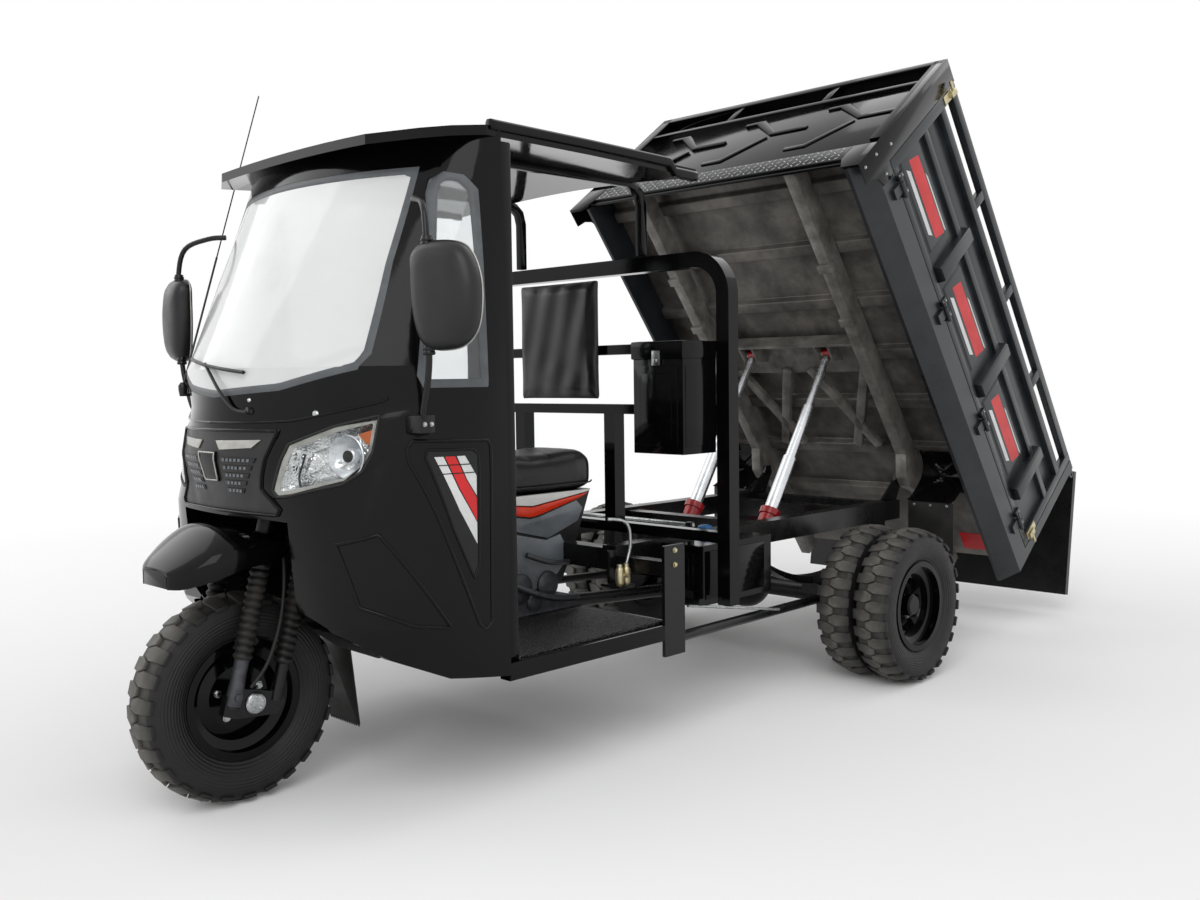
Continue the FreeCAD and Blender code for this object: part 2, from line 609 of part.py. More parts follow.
save("leaf_springs", group(springs).cut(nodes["rear_axle"]).cut(chassis_frame))
shaft = rod(v(0, seat_front_y + 320, 370), v(0, rear_axle_y - 98, axle_height + 10), 24)
save("drive_shaft", shaft.cut(nodes["rear_axle"]).cut(engine_block).cut(chassis_frame))

# mirrors, aerial and wiper
mirror_parts = []
for side in (-1, 1):
    at = v(side * 700, front_axle_y + 198, 1360)
    head_block = box(at.x - 84, at.x + 84, at.y - 22, at.y + 22, at.z - 125, at.z + 125)
    head_block = head_block.makeFillet(21, head_block.Edges)
    arm = bent_bar([v(side * (cab_half_width - 2), cab_rear_y - 120, 1000), v(side * 640, cab_rear_y - 150, 1060), v(at.x - side * 40, at.y + 5, 1250)], 30, round_section(8))
    foot = box(side * 601.5, side * 616, cab_rear_y - 145, cab_rear_y - 95, 980, 1020)
    mirror_parts.append(join([head_block, arm, foot]))
save("mirrors", group(mirror_parts).cut(cab_outer))

# bed, drawn lowered
bed_pivot = v(0, bed_pivot_y, bed_pivot_z)
bed_front_y = bed_pivot_y + bed_rear_reach - bed_length
bed_rear_y = bed_pivot_y + bed_rear_reach
keel_z = bed_pivot_z


def raised(shape):
    return turned(shape, bed_pivot, v(1, 0, 0), -bed_tilt)


def bed_box(x0, x1, y0, y1, n0, n1):
    return box(x0, x1, y0, y1, keel_z + n0, keel_z + n1)


gate_pin = v(0, bed_rear_y + gate_pin_back, keel_z + gate_pin_height)
side_gaps = []
half = bed_half_width
side_zone_front = bed_front_y + 60
side_zone_rear = bed_rear_y - 60
keel = bed_keel_half_width
sill_points = [(keel, 0), (keel + 14, 0), (half, 68), (half, sill_top), (keel, sill_top)]
hinge_x = half + side_hinge_out
hinge_z = keel_z + side_hinge_height
hinge_span = (side_zone_rear - side_zone_front - 300) / (hinge_count - 1)
hinge_ys = [side_zone_front + 150 + k * hinge_span for k in range(hinge_count)]


def hinge_rod(y0, y1, radius):
    return rod(v(hinge_x, y0, hinge_z), v(hinge_x, y1, hinge_z), radius)


sill_hinges = []
for y in hinge_ys:
    leaf = bed_box(half - 4, half + 12, y - 20, y + 20, 110, sill_top)
    sill_hinges.append(join([leaf, hinge_rod(y - 20, y + 20, hinge_radius)]))
sill_bore = hinge_rod(side_zone_front, side_zone_rear, hinge_pin_radius + running_gap)
sill = prism_y([(x, keel_z + n) for x, n in sill_points], bed_front_y + 22, bed_rear_y)
sills = []
for side in (-1, 1):
    one = join([sill] + sill_hinges).cut(sill_bore)
    one = one if side > 0 else mirrored(one)
    post = bed_box(side * (half - 50), side * half, bed_rear_y - 50, bed_rear_y, sill_top - 1, bed_height)
    ear_x = side * (half - 11)
    ear = [(bed_rear_y - 5, gate_pin.z - 30), (bed_rear_y - 5, gate_pin.z + 14), (gate_pin.y + 4, gate_pin.z + 14)]
    ear += [(gate_pin.y + 14, gate_pin.z + 4), (gate_pin.y + 14, gate_pin.z - 8), (gate_pin.y, gate_pin.z - 20)]
    ear_plate = prism_x(ear, ear_x, side * half)
    bore = rod(v(ear_x - side * 5, gate_pin.y, gate_pin.z), v(side * half + side * 5, gate_pin.y, gate_pin.z), gate_pin_radius + running_gap)
    sills.append(join([one, post, ear_plate]).cut(bore))
save("bed_sills", raised(group(sills)))

floor_parts = [bed_box(-keel, keel, bed_front_y + 22, bed_rear_y, bed_floor_height - floor_sheet, bed_floor_height)]
rib_under = bed_floor_height - floor_sheet - rib_depth
rib_pitch = (bed_length - 200) / 6
for k in range(7):
    y = bed_front_y + 90 + k * rib_pitch
    floor_parts.append(bed_box(-keel, keel, y, y + 50, rib_under, bed_floor_height - 1))
save("bed_floor", raised(join(floor_parts)))

rails = []
for side in (-1, 1):
    x0 = side * (bed_rail_x - bed_rail_width / 2)
    x1 = side * (bed_rail_x + bed_rail_width / 2)
    bar = bed_box(x0, x1, bed_front_y + 22, bed_rear_y, -bed_rail_drop, rib_under)
    pin_bore = rod(v(side * 300, bed_pivot_y, bed_pivot_z), v(side * 500, bed_pivot_y, bed_pivot_z), 12 + running_gap)
    rails.append(bar.cut(pin_bore))
save("bed_rails", raised(group(rails)))

# hoist beam under the floor with a pair of cheeks for each rod eye
beam_y = bed_pivot_y + hoist_eye_reach
beam_half = bed_rail_x - bed_rail_width / 2
beam_under = hoist_eye_height + hoist_eye_radius + hoist_eye_clearance
beam_parts = [bed_box(-beam_half, beam_half, beam_y - 70, beam_y + 120, beam_under, rib_under)]
beam_parts.append(bed_box(-beam_half, beam_half, beam_y - 70, beam_y - 58, hoist_eye_height - 36, rib_under))
for side in (-1, 1):
    for cheek in (-1, 1):
        x = side * hoist_x + cheek * 30
        cheek_points = [(beam_y - 60, beam_under + 1), (beam_y - 60, hoist_eye_height - 35), (beam_y - 12, hoist_eye_height - 34)]
        cheek_points += [(beam_y + 12, hoist_eye_height - 34), (beam_y + 60, beam_under + 1)]
        beam_parts.append(prism_x([(y, keel_z + n) for y, n in cheek_points], x, x + cheek * 8))
beam_shape = join(beam_parts)
save("hoist_beam", raised(beam_shape))

# headboard with its tread plate foot
wing_points = [(-keel, 0), (keel, 0), (half, 70), (half, sill_top + 5), (half, bed_height), (-half, bed_height), (-half, 70)]
wing_points = [(x, keel_z + n) for x, n in wing_points]
plate = prism_y(wing_points, bed_front_y + 12, bed_front_y + 12 + sheet * 2)
window = bed_box(-half + 60, half - 60, bed_front_y - 10, bed_front_y + 60, bed_height - 130, bed_height - 50)
head_parts = [plate.cut(window)]
head_parts.append(bed_box(-half, half, bed_front_y, bed_front_y + 58, bed_height - 50, bed_height))
for side in (-1, 1):
    head_parts.append(bed_box(side * (half - 56), side * half, bed_front_y, bed_front_y + 58, sill_top + 6, bed_height))
    head_parts.append(bed_box(side * 150, side * 190, bed_front_y + 4, bed_front_y + 40, sill_top, bed_height - 50))
foot = prism_y([(x, keel_z + n) for x, n in [(-keel, 0), (keel, 0), (half, 70), (half, sill_top + 6), (-half, sill_top + 6), (-half, 70)]], bed_front_y, bed_front_y + 12)
head_parts.append(foot)
save("headboard", raised(join(head_parts)))

# hinged sides
def side_panel():
    x0 = half - side_thickness
    y0 = side_zone_front + 5
    y1 = side_zone_rear + 5
    low = sill_top + 5
    split = low + 400
    lower = bed_box(x0, half - 4, y0, y1, low, split)
    posts = [bed_box(x0, half, y, y + 40, low, bed_height) for y in (y0, y1 - 40)]
    spread = (y1 - y0 - 40) / 4
    posts += [bed_box(x0, half, y0 + k * spread, y0 + k * spread + 40, split - 1, bed_height) for k in (1, 2, 3)]
    top = bed_box(x0, half, y0, y1, bed_height - 40, bed_height)
    side_gaps[:] = [(y0 + (k + 0.5) * spread + 20, (split + bed_height - 40) / 2, (bed_height - 50 - split) / 2.9) for k in range(4)]
    ribs = [bed_box(half - 5, half + 22, y0 + k * spread - 35, y0 + k * spread + 35, low + 12, split + 60) for k in (1, 2, 3)]
    hinges = []
    for y in hinge_ys:
        for y0, y1 in ((y - 44, y - 22), (y + 22, y + 44)):
            hinges.append(hinge_rod(y0, y1, hinge_radius))
            hinges.append(bed_box(half - 5, half + 7, y0, y1, side_hinge_height, side_hinge_height + 80))
        hinges.append(hinge_rod(y - 30, y + 30, hinge_pin_radius))
    return join([lower, top] + posts + ribs + hinges)


side_left = side_panel()
save("side_left", raised(side_left))
save("side_right", raised(mirrored(side_left)))

# tailgate, hanging from two pins by its own weight
gate_low = sill_top + 10
gate_y0 = gate_pin.y + gate_pin_in - gate_thickness / 2
gate_panel = bed_box(-half + 4, half - 4, gate_y0, gate_y0 + 6, gate_low, bed_height - 8)
gate_parts = [gate_panel]
gate_parts.append(bed_box(-half + 4, half - 4, gate_y0, gate_y0 + gate_thickness, bed_height - 48, bed_height - 8))
gate_parts.append(bed_box(-half + 4, half - 4, gate_y0, gate_y0 + gate_thickness, gate_low, gate_low + 40))
for x in (-half + 4, -20, half - 44):
    gate_parts.append(bed_box(x, x + 40, gate_y0, gate_y0 + gate_thickness, gate_low, bed_height - 8))
for side in (-1, 1):
    arm_x = side * (half - 12)
    arm = [(gate_pin.y, gate_pin.z - 13), (gate_pin.y, gate_pin.z + 13), (gate_y0 + 4, gate_pin.z + 13), (gate_y0 + 4, gate_pin.z - 13)]
    gate_parts.append(prism_x(arm, arm_x - 8 * side, arm_x))
    gate_parts.append(rod(v(arm_x - 8 * side, gate_pin.y, gate_pin.z), v(arm_x, gate_pin.y, gate_pin.z), 13))
    gate_parts.append(rod(v(arm_x - 4 * side, gate_pin.y, gate_pin.z), v(arm_x + 14 * side, gate_pin.y, gate_pin.z), gate_pin_radius))
gate = join(gate_parts)
weight = gate.CenterOfMass
swing = math.degrees(math.atan2(weight.y - gate_pin.y, gate_pin.z - weight.z))
gate_open = bed_tilt - swing
gate = turned(gate, gate_pin, v(1, 0, 0), gate_open)
save("tailgate", raised(gate))
print("tailgate hangs open by", round(gate_open, 2), "offset", round(swing, 2))

# mudguards under the bed
guard_parts = []
for side in (-1, 1):
    curve = [v(side * 425, bed_pivot_y - 65, keel_z + rib_under + 34), v(side * 425, bed_pivot_y + 40, keel_z + 60), v(side * 425, bed_pivot_y + 45, keel_z - 95)]
    arc = Part.Arc(*curve).toShape()
    back_curve = [p + v(0, -5, 0) for p in curve]
    back_arc = Part.Arc(*reversed(back_curve)).toShape()
    a = Part.LineSegment(curve[2], back_curve[2]).toShape()
    b = Part.LineSegment(back_curve[0], curve[0]).toShape()
    sheet_solid = Part.Face(Part.Wire([arc, a, back_arc, b])).extrude(v(side * 210, 0, 0))
    flap_dir = v(0, math.sin(math.radians(bed_tilt)), -math.cos(math.radians(bed_tilt)))
    flap = square_bar(curve[2] + v(side * 105, -2.5, 6), curve[2] + v(side * 105, -2.5, 6) + flap_dir * 280, 210, 6, v(0, 0, 1))
    guard_parts.append(join([sheet_solid, flap]))
save("mudguards", raised(group(guard_parts).cut(join(floor_parts))))

# hoist cylinders
hoist_pivot = v(0, hoist_pivot_y, hoist_pivot_z)
eye_low = v(0, bed_pivot_y + hoist_eye_reach, bed_pivot_z + hoist_eye_height)
tilt = math.radians(bed_tilt)
eye_high = bed_pivot + v(0, hoist_eye_reach * math.cos(tilt) + hoist_eye_height * math.sin(tilt),
                         -hoist_eye_reach * math.sin(tilt) + hoist_eye_height * math.cos(tilt))
reach = eye_high - hoist_pivot
along = v(0, reach.y, reach.z).normalize()
closed = (eye_low - hoist_pivot).Length
stroke = (reach.Length - closed) / 3
print("hoist stroke of each stage", round(stroke, 2), "closed", round(closed, 2), "open", round(reach.Length, 2))


def on_hoist(x, distance):
    return hoist_pivot + v(x, 0, 0) + along * distance


barrels, first, second, rods = [], [], [], []
for side in (-1, 1):
    x = side * hoist_x
    barrel = rod(on_hoist(x, 10), on_hoist(x, barrel_collar), barrel_radius)
    collar = rod(on_hoist(x, barrel_collar - 22), on_hoist(x, barrel_collar + 4), barrel_radius + 6)
    lug = rod(v(x - 32, hoist_pivot_y, hoist_pivot_z), v(x + 32, hoist_pivot_y, hoist_pivot_z), 26)
    bore = rod(on_hoist(x, 31), on_hoist(x, barrel_collar + 50), stage_1_radius + stage_gap)
    pin_bore = rod(v(x - 80, hoist_pivot_y, hoist_pivot_z), v(x + 80, hoist_pivot_y, hoist_pivot_z), 12 + running_gap)
    barrels.append(join([barrel, collar, lug]).cut(bore).cut(pin_bore))
    top_1 = barrel_collar + stage_step + stroke
    top_2 = barrel_collar + stage_step * 2 + stroke * 2
    length = stage_step + stroke + stage_overlap
    first.append(pipe(on_hoist(x, top_1 - length), on_hoist(x, top_1), stage_1_radius, stage_2_radius + stage_gap))
    second.append(pipe(on_hoist(x, top_2 - length), on_hoist(x, top_2), stage_2_radius, rod_radius + stage_gap))
    eye_at = on_hoist(x, reach.Length)
    stem = rod(on_hoist(x, top_2 - stage_overlap), on_hoist(x, reach.Length), rod_radius)
    ring = rod(eye_at - v(20, 0, 0), eye_at + v(20, 0, 0), hoist_eye_radius)
    pin = rod(eye_at - v(29.7, 0, 0), eye_at + v(29.7, 0, 0), 12)
    rods.append(join([stem, ring, pin]))
save("hoist_barrels", group(barrels))
save("hoist_stage_1", group(first))
save("hoist_stage_2", group(second))
save("hoist_rods", group(rods))

for node, shape in nodes.items():
    shape.exportStep("parts/" + node + ".step")
whole = Part.Compound(list(nodes.values())).BoundBox
print(len(nodes), "nodes; box", [round(c, 1) for c in (whole.XMin, whole.XMax, whole.YMin, whole.YMax, whole.ZMin, whole.ZMax)])
for node, shape in nodes.items():
    print(node, len(shape.Solids), shape.isValid(), round(shape.Volume / 1e6, 3))
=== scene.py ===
import bpy
import bmesh
import math
from mathutils import Matrix, Vector
from mathutils.bvhtree import BVHTree


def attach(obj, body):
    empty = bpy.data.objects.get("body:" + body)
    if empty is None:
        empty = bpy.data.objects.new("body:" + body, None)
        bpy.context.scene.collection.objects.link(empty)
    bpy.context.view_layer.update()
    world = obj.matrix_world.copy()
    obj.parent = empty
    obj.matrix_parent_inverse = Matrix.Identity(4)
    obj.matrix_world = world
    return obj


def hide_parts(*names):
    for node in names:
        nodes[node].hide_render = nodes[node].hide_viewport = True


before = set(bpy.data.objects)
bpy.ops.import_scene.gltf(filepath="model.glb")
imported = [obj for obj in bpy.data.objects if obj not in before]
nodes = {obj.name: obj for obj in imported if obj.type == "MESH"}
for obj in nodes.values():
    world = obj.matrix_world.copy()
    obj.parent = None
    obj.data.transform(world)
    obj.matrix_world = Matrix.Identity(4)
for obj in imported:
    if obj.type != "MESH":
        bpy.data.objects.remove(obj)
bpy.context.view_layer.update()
print("frame loaded:", len(nodes), "nodes")

scene = bpy.context.scene
scene.view_settings.view_transform = "Standard"


def linear(hexText):
    channels = [int(hexText[i:i + 2], 16) / 255 for i in (1, 3, 5)]
    return tuple(c / 12.92 if c <= 0.04045 else ((c + 0.055) / 1.055) ** 2.4 for c in channels) + (1.0,)


def addNode(tree, kind, settings=None, **links):
    node = tree.nodes.new(kind)
    for name, value in (settings or {}).items():
        if name == "stops":
            while len(node.color_ramp.elements) < len(value):
                node.color_ramp.elements.new(0.5)
            for element, (at, tone) in zip(node.color_ramp.elements, value):
                element.position = at
                element.color = linear(tone)
        elif name[0].islower():
            setattr(node, name, value)
        else:
            node.inputs[name].default_value = value
    for name, source in links.items():
        socket = node.inputs[int(name[1:])] if name[1:].isdigit() else node.inputs[name.replace("_", " ")]
        tree.links.new(source if isinstance(source, bpy.types.NodeSocket) else source.outputs[0], socket)
    return node


def newMaterial(name, settings):
    material = bpy.data.materials.new(name)
    material.use_nodes = True
    tree = material.node_tree
    tree.nodes.clear()
    shader = addNode(tree, "ShaderNodeBsdfPrincipled", settings)
    addNode(tree, "ShaderNodeOutputMaterial", None, Surface=shader)
    place = addNode(tree, "ShaderNodeTexCoord").outputs["Object"]
    inMillimetres = addNode(tree, "ShaderNodeVectorMath", {"operation": "SCALE", "Scale": 1000.0}, i0=place)
    return material, tree, shader, inMillimetres


# a cloud of handling marks, patch millimetres across, that drives both the colour and the roughness; on the screen
# glass the cloud is painted reflection
def addCloud(tree, shader, place, spec, noise, spread):
    cloud = addNode(tree, "ShaderNodeTexNoise", {"Scale": 1 / spec["patch"], **noise}, Vector=place)
    tones = addNode(tree, "ShaderNodeValToRGB", {"stops": spec["tones"]}, Fac=cloud)
    tree.links.new(tones.outputs[0], shader.inputs["Base Color"])
    low, high = spec["rough"]
    rough = addNode(tree, "ShaderNodeMapRange", {**spread, "To Min": low, "To Max": high}, Value=cloud)
    tree.links.new(rough.outputs[0], shader.inputs["Roughness"])


# most finishes are a cloud over one surface with a fine grain; grain and deep are its size and height in millimetres
def makeFinish(name, spec):
    settings = {"IOR": 1.5, "Specular IOR Level": spec.get("specular", 0.5), "Metallic": spec.get("metallic", 0.0)}
    material, tree, shader, place = newMaterial(name, settings)
    addCloud(tree, shader, place, spec, {"Detail": 6.0, "Roughness": 0.62}, {"From Min": 0.3, "From Max": 0.7})
    scale = 1 / spec["grain"]
    if spec.get("pattern") == "cells":
        grain = addNode(tree, "ShaderNodeTexVoronoi", {"feature": "DISTANCE_TO_EDGE", "Scale": scale}, Vector=place)
    else:
        grain = addNode(tree, "ShaderNodeTexNoise", {"Scale": scale, "Detail": 2.0}, Vector=place)
    bump = {"Strength": spec["relief"], "Distance": spec["deep"] / 1000}
    relief = addNode(tree, "ShaderNodeBump", bump, Height=grain)
    tree.links.new(relief.outputs[0], shader.inputs["Normal"])
    return material


# a finish may also name a slot, which is only gathered into the slots table and given to no piece, and the frame's
# nodes that wear it
finishSpecs = {
    # sprayed and stoved steel: deep black and mirror-like, with a faint orange peel and a veil of road dust
    "stovedBlackEnamel": {
        "tones": [(0.35, "#040405"), (0.8, "#0b0b0c")], "patch": 260, "rough": (0.05, 0.15), "specular": 0.2,
        "grain": 9.0, "deep": 0.5, "relief": 0.14, "slot": "gloss_black_paint",
        "nodes": ["cab_nose", "windshield_frame", "cab_side_left", "cab_side_right", "cab_roof", "front_fender",
                  "cab_frame", "portal_frame", "rims_left", "rims_right", "front_rim", "toolbox", "side_boxes",
                  "floor_pan"]},
    # electrostatic powder on tube: satin black, fine pebble, rubbed a little in patches
    "blackPowderCoat": {
        "tones": [(0.4, "#080809"), (0.75, "#141415")], "patch": 140, "rough": (0.2, 0.4), "specular": 0.35,
        "grain": 1.6, "deep": 0.25, "relief": 0.15, "slot": "satin_black_frame",
        "nodes": ["chassis_frame", "front_fork", "handlebar", "rear_axle", "leaf_springs", "drive_shaft",
                  "inner_guard", "headboard", "tailgate"]},
    # charcoal two-pack over the pressed sides: blue-grey, half gloss, clouded by the spray gun
    "charcoalTwoPack": {
        "tones": [(0.35, "#15181b"), (0.55, "#1f2327"), (0.8, "#2b3035")], "patch": 180, "rough": (0.24, 0.42),
        "grain": 2.5, "deep": 0.25, "relief": 0.12, "slot": "dark_grey_bed",
        "nodes": ["side_left", "side_right", "bed_sills"]},
    # anti-rust primer on rolled sheet: warm grey, streaked by rolling and by handling
    "greyPrimedSheet": {
        "tones": [(0.3, "#3d3b38"), (0.5, "#5e5b57"), (0.72, "#807b75")], "patch": 150, "rough": (0.34, 0.55),
        "metallic": 0.35, "specular": 0.4, "grain": 14, "deep": 0.6, "relief": 0.12, "slot": "dark_grey_bed",
        "nodes": ["bed_floor"]},
    # the same primer on the folded rails and ribs, coloured lighter than the sheet as a painted highlight where light
    # catches their flanges
    "greyPrimerPaintedHighlight": {
        "tones": [(0.35, "#5b5955"), (0.6, "#7f7c77"), (0.8, "#9d9993")], "patch": 90, "rough": (0.3, 0.45),
        "metallic": 0.35, "specular": 0.45, "grain": 8, "deep": 0.4, "relief": 0.12, "slot": "dark_grey_bed",
        "nodes": ["bed_rails", "hoist_beam"]},
    # ground and hard-chromed ram: bright, with a thin film of oil
    "hardChromedSteel": {
        "tones": [(0.3, "#e2e4e6"), (0.8, "#c3c6ca")], "patch": 60, "rough": (0.2, 0.34), "metallic": 1.0,
        "grain": 30, "deep": 0.05, "relief": 0.05, "slot": "hoist_chrome",
        "nodes": ["hoist_stage_1", "hoist_stage_2", "hoist_rods"]},
    # bright zinc plate on fasteners and pipe: pale silver, slightly clouded
    "zincPlatedSteel": {
        "tones": [(0.35, "#c4c6c6"), (0.75, "#8f9294")], "patch": 14, "rough": (0.2, 0.4), "metallic": 1.0,
        "grain": 2.0, "deep": 0.1, "relief": 0.1, "slot": "hoist_chrome"},
    # yellow-passivated plate on latches and valve bodies: brassy, with a rainbow cast worn off at the edges
    "yellowPassivatedSteel": {
        "tones": [(0.3, "#b3a372"), (0.55, "#cfc6a4"), (0.8, "#8f8c7c")], "patch": 22, "rough": (0.25, 0.45),
        "metallic": 0.9, "grain": 2.5, "deep": 0.15, "relief": 0.12, "slot": "hoist_chrome"},
    # sprayed gloss enamel in signal red on the cylinder ends
    "signalRedEnamel": {
        "tones": [(0.35, "#b5121b"), (0.8, "#8c0c13")], "patch": 50, "rough": (0.14, 0.26),
        "grain": 3.0, "deep": 0.15, "relief": 0.08, "slot": "hoist_red", "nodes": ["hoist_barrels"]},
    # printed vinyl film in red: flat, even, with a soft sheen
    "redVinylFilm": {
        "tones": [(0.35, "#cf1a1f"), (0.8, "#b31419")], "patch": 120, "rough": (0.3, 0.42), "specular": 0.45,
        "grain": 6.0, "deep": 0.05, "relief": 0.05},
    # printed vinyl film in silver white
    "paleVinylFilm": {
        "tones": [(0.35, "#d6d7d6"), (0.8, "#bcbebe")], "patch": 120, "rough": (0.3, 0.42), "specular": 0.45,
        "grain": 6.0, "deep": 0.05, "relief": 0.05},
    # pearlescent body plastic beside the saddle: cool mid grey, soft gloss
    "greyMouldedAbs": {
        "tones": [(0.35, "#5c6065"), (0.8, "#80858a")], "patch": 160, "rough": (0.24, 0.36),
        "grain": 1.5, "deep": 0.08, "relief": 0.1, "slot": "black_plastic"},
    # white and orange injection mouldings of the saddle's side trim: glossy and even
    "whiteMouldedAbs": {
        "tones": [(0.35, "#e6e4df"), (0.8, "#cfd3d6")], "patch": 90, "rough": (0.16, 0.28),
        "grain": 1.5, "deep": 0.05, "relief": 0.05},
    "orangeMouldedAbs": {
        "tones": [(0.35, "#e2350f"), (0.8, "#c9290b")], "patch": 90, "rough": (0.18, 0.3),
        "grain": 1.5, "deep": 0.05, "relief": 0.05},
    # blue injection-moulded cap of the tank filler
    "blueMouldedNylon": {
        "tones": [(0.35, "#2f6fa8"), (0.8, "#245a8c")], "patch": 20, "rough": (0.3, 0.45), "specular": 0.45,
        "grain": 1.0, "deep": 0.1, "relief": 0.1},
    # injection-moulded ABS with a spark-eroded grain: dull near-black
    "grainedAbs": {
        "tones": [(0.35, "#121213"), (0.8, "#1d1d1f")], "patch": 80, "rough": (0.32, 0.48), "specular": 0.4,
        "pattern": "cells", "grain": 2.2, "deep": 0.2, "relief": 0.3, "slot": "black_plastic",
        "nodes": ["grille", "mirrors", "seat_body"]},
    # calendered vinyl over foam: pressed leather grain, soft highlights
    "grainedVinyl": {
        "tones": [(0.35, "#101011"), (0.8, "#1b1b1c")], "patch": 90, "rough": (0.3, 0.44),
        "pattern": "cells", "grain": 3.2, "deep": 0.35, "relief": 0.35, "slot": "black_vinyl",
        "nodes": ["seat_cushion", "backrest"]},
    # extruded glazing rubber: mid grey with a waxy bloom
    "greyGlazingRubber": {
        "tones": [(0.35, "#4c4f52"), (0.8, "#63676a")], "patch": 60, "rough": (0.4, 0.6), "specular": 0.4,
        "grain": 2.0, "deep": 0.15, "relief": 0.12, "slot": "flap_rubber"},
    # cut sheet rubber of flaps and gaiters: brownish black, chalky where it is dusty
    "sheetRubber": {
        "tones": [(0.38, "#131312"), (0.6, "#1d1b19"), (0.85, "#37322b")], "patch": 70, "rough": (0.42, 0.7),
        "specular": 0.4, "grain": 2.4, "deep": 0.25, "relief": 0.2, "slot": "flap_rubber", "nodes": ["mudguards"]},
    # looped vinyl-coil matting on the running board: black with wet-looking glints
    "coiledVinylMat": {
        "tones": [(0.4, "#050505"), (0.62, "#111112"), (0.85, "#3a3a3c")], "patch": 9, "rough": (0.15, 0.5),
        "specular": 0.7, "grain": 7.0, "deep": 9.0, "relief": 1.0, "slot": "flap_rubber"},
    # sand-cast alloy: matt grey with a coarse skin
    "sandCastAlloy": {
        "tones": [(0.35, "#55565a"), (0.8, "#36373a")], "patch": 30, "rough": (0.4, 0.6), "metallic": 0.7,
        "grain": 2.5, "deep": 0.4, "relief": 0.3, "slot": "cast_metal", "nodes": ["engine_block"]},
    # vacuum-metallised polycarbonate of the lamp bowls: silver broken into small flutes
    "metallisedPolycarbonate": {
        "tones": [(0.35, "#dfe0e0"), (0.8, "#b3b5b6")], "patch": 24, "rough": (0.08, 0.2), "metallic": 1.0,
        "pattern": "cells", "grain": 11.0, "deep": 5.0, "relief": 0.8, "slot": "hoist_chrome"},
    # satin silver trim of grille and lamp border
    "satinSilverTrim": {
        "tones": [(0.35, "#b9b8b3"), (0.8, "#97968f")], "patch": 40, "rough": (0.28, 0.4), "metallic": 0.55,
        "grain": 1.5, "deep": 0.08, "relief": 0.08, "slot": "hoist_chrome"},
    # amber moulded lens patch of the indicator
    "amberPolycarbonate": {
        "tones": [(0.35, "#d2691e"), (0.8, "#b4501a")], "patch": 12, "rough": (0.1, 0.2),
        "pattern": "cells", "grain": 5.0, "deep": 1.0, "relief": 0.4},
}


# float glass and clear lens: pale, with a dust veil so its reflections never look perfectly clean; on the screen the
# pale colour is painted light of the bright backdrop behind it and the veil is painted reflection
def makeGlass(name, spec):
    settings = {"IOR": spec["ior"], "Transmission Weight": spec["clear"], "Specular IOR Level": 0.5}
    material, tree, shader, place = newMaterial(name, settings)
    addCloud(tree, shader, place, spec, {"Detail": 5.0, "Roughness": 0.6}, {})
    return material


glassSpecs = {
    # laminated screen, coloured almost white as painted light of the bright backdrop seen through it, with a soft
    # grey drift of painted reflection
    "screenGlassPaintedLight": {"tones": [(0.3, "#f1f2f2"), (0.55, "#ebecec"), (0.8, "#d9dbdc")], "patch": 420,
                             "rough": (0.04, 0.12), "clear": 0.25, "ior": 1.5, "nodes": ["windshield"]},
    # toughened side light: see-through, faintly green-grey
    "toughenedSideGlass": {"tones": [(0.3, "#eceff0"), (0.8, "#dde2e4")], "patch": 180,
                           "rough": (0.0, 0.05), "clear": 0.95, "ior": 1.35, "nodes": ["quarter_windows"]},
    # moulded polycarbonate lens: water-clear
    "clearPolycarbonate": {"tones": [(0.3, "#fafbfb"), (0.8, "#f1f3f3")], "patch": 60, "rough": (0.0, 0.03),
                           "clear": 1.0, "ior": 1.2, "slot": "lamp_lens", "nodes": ["headlamps"]},
}


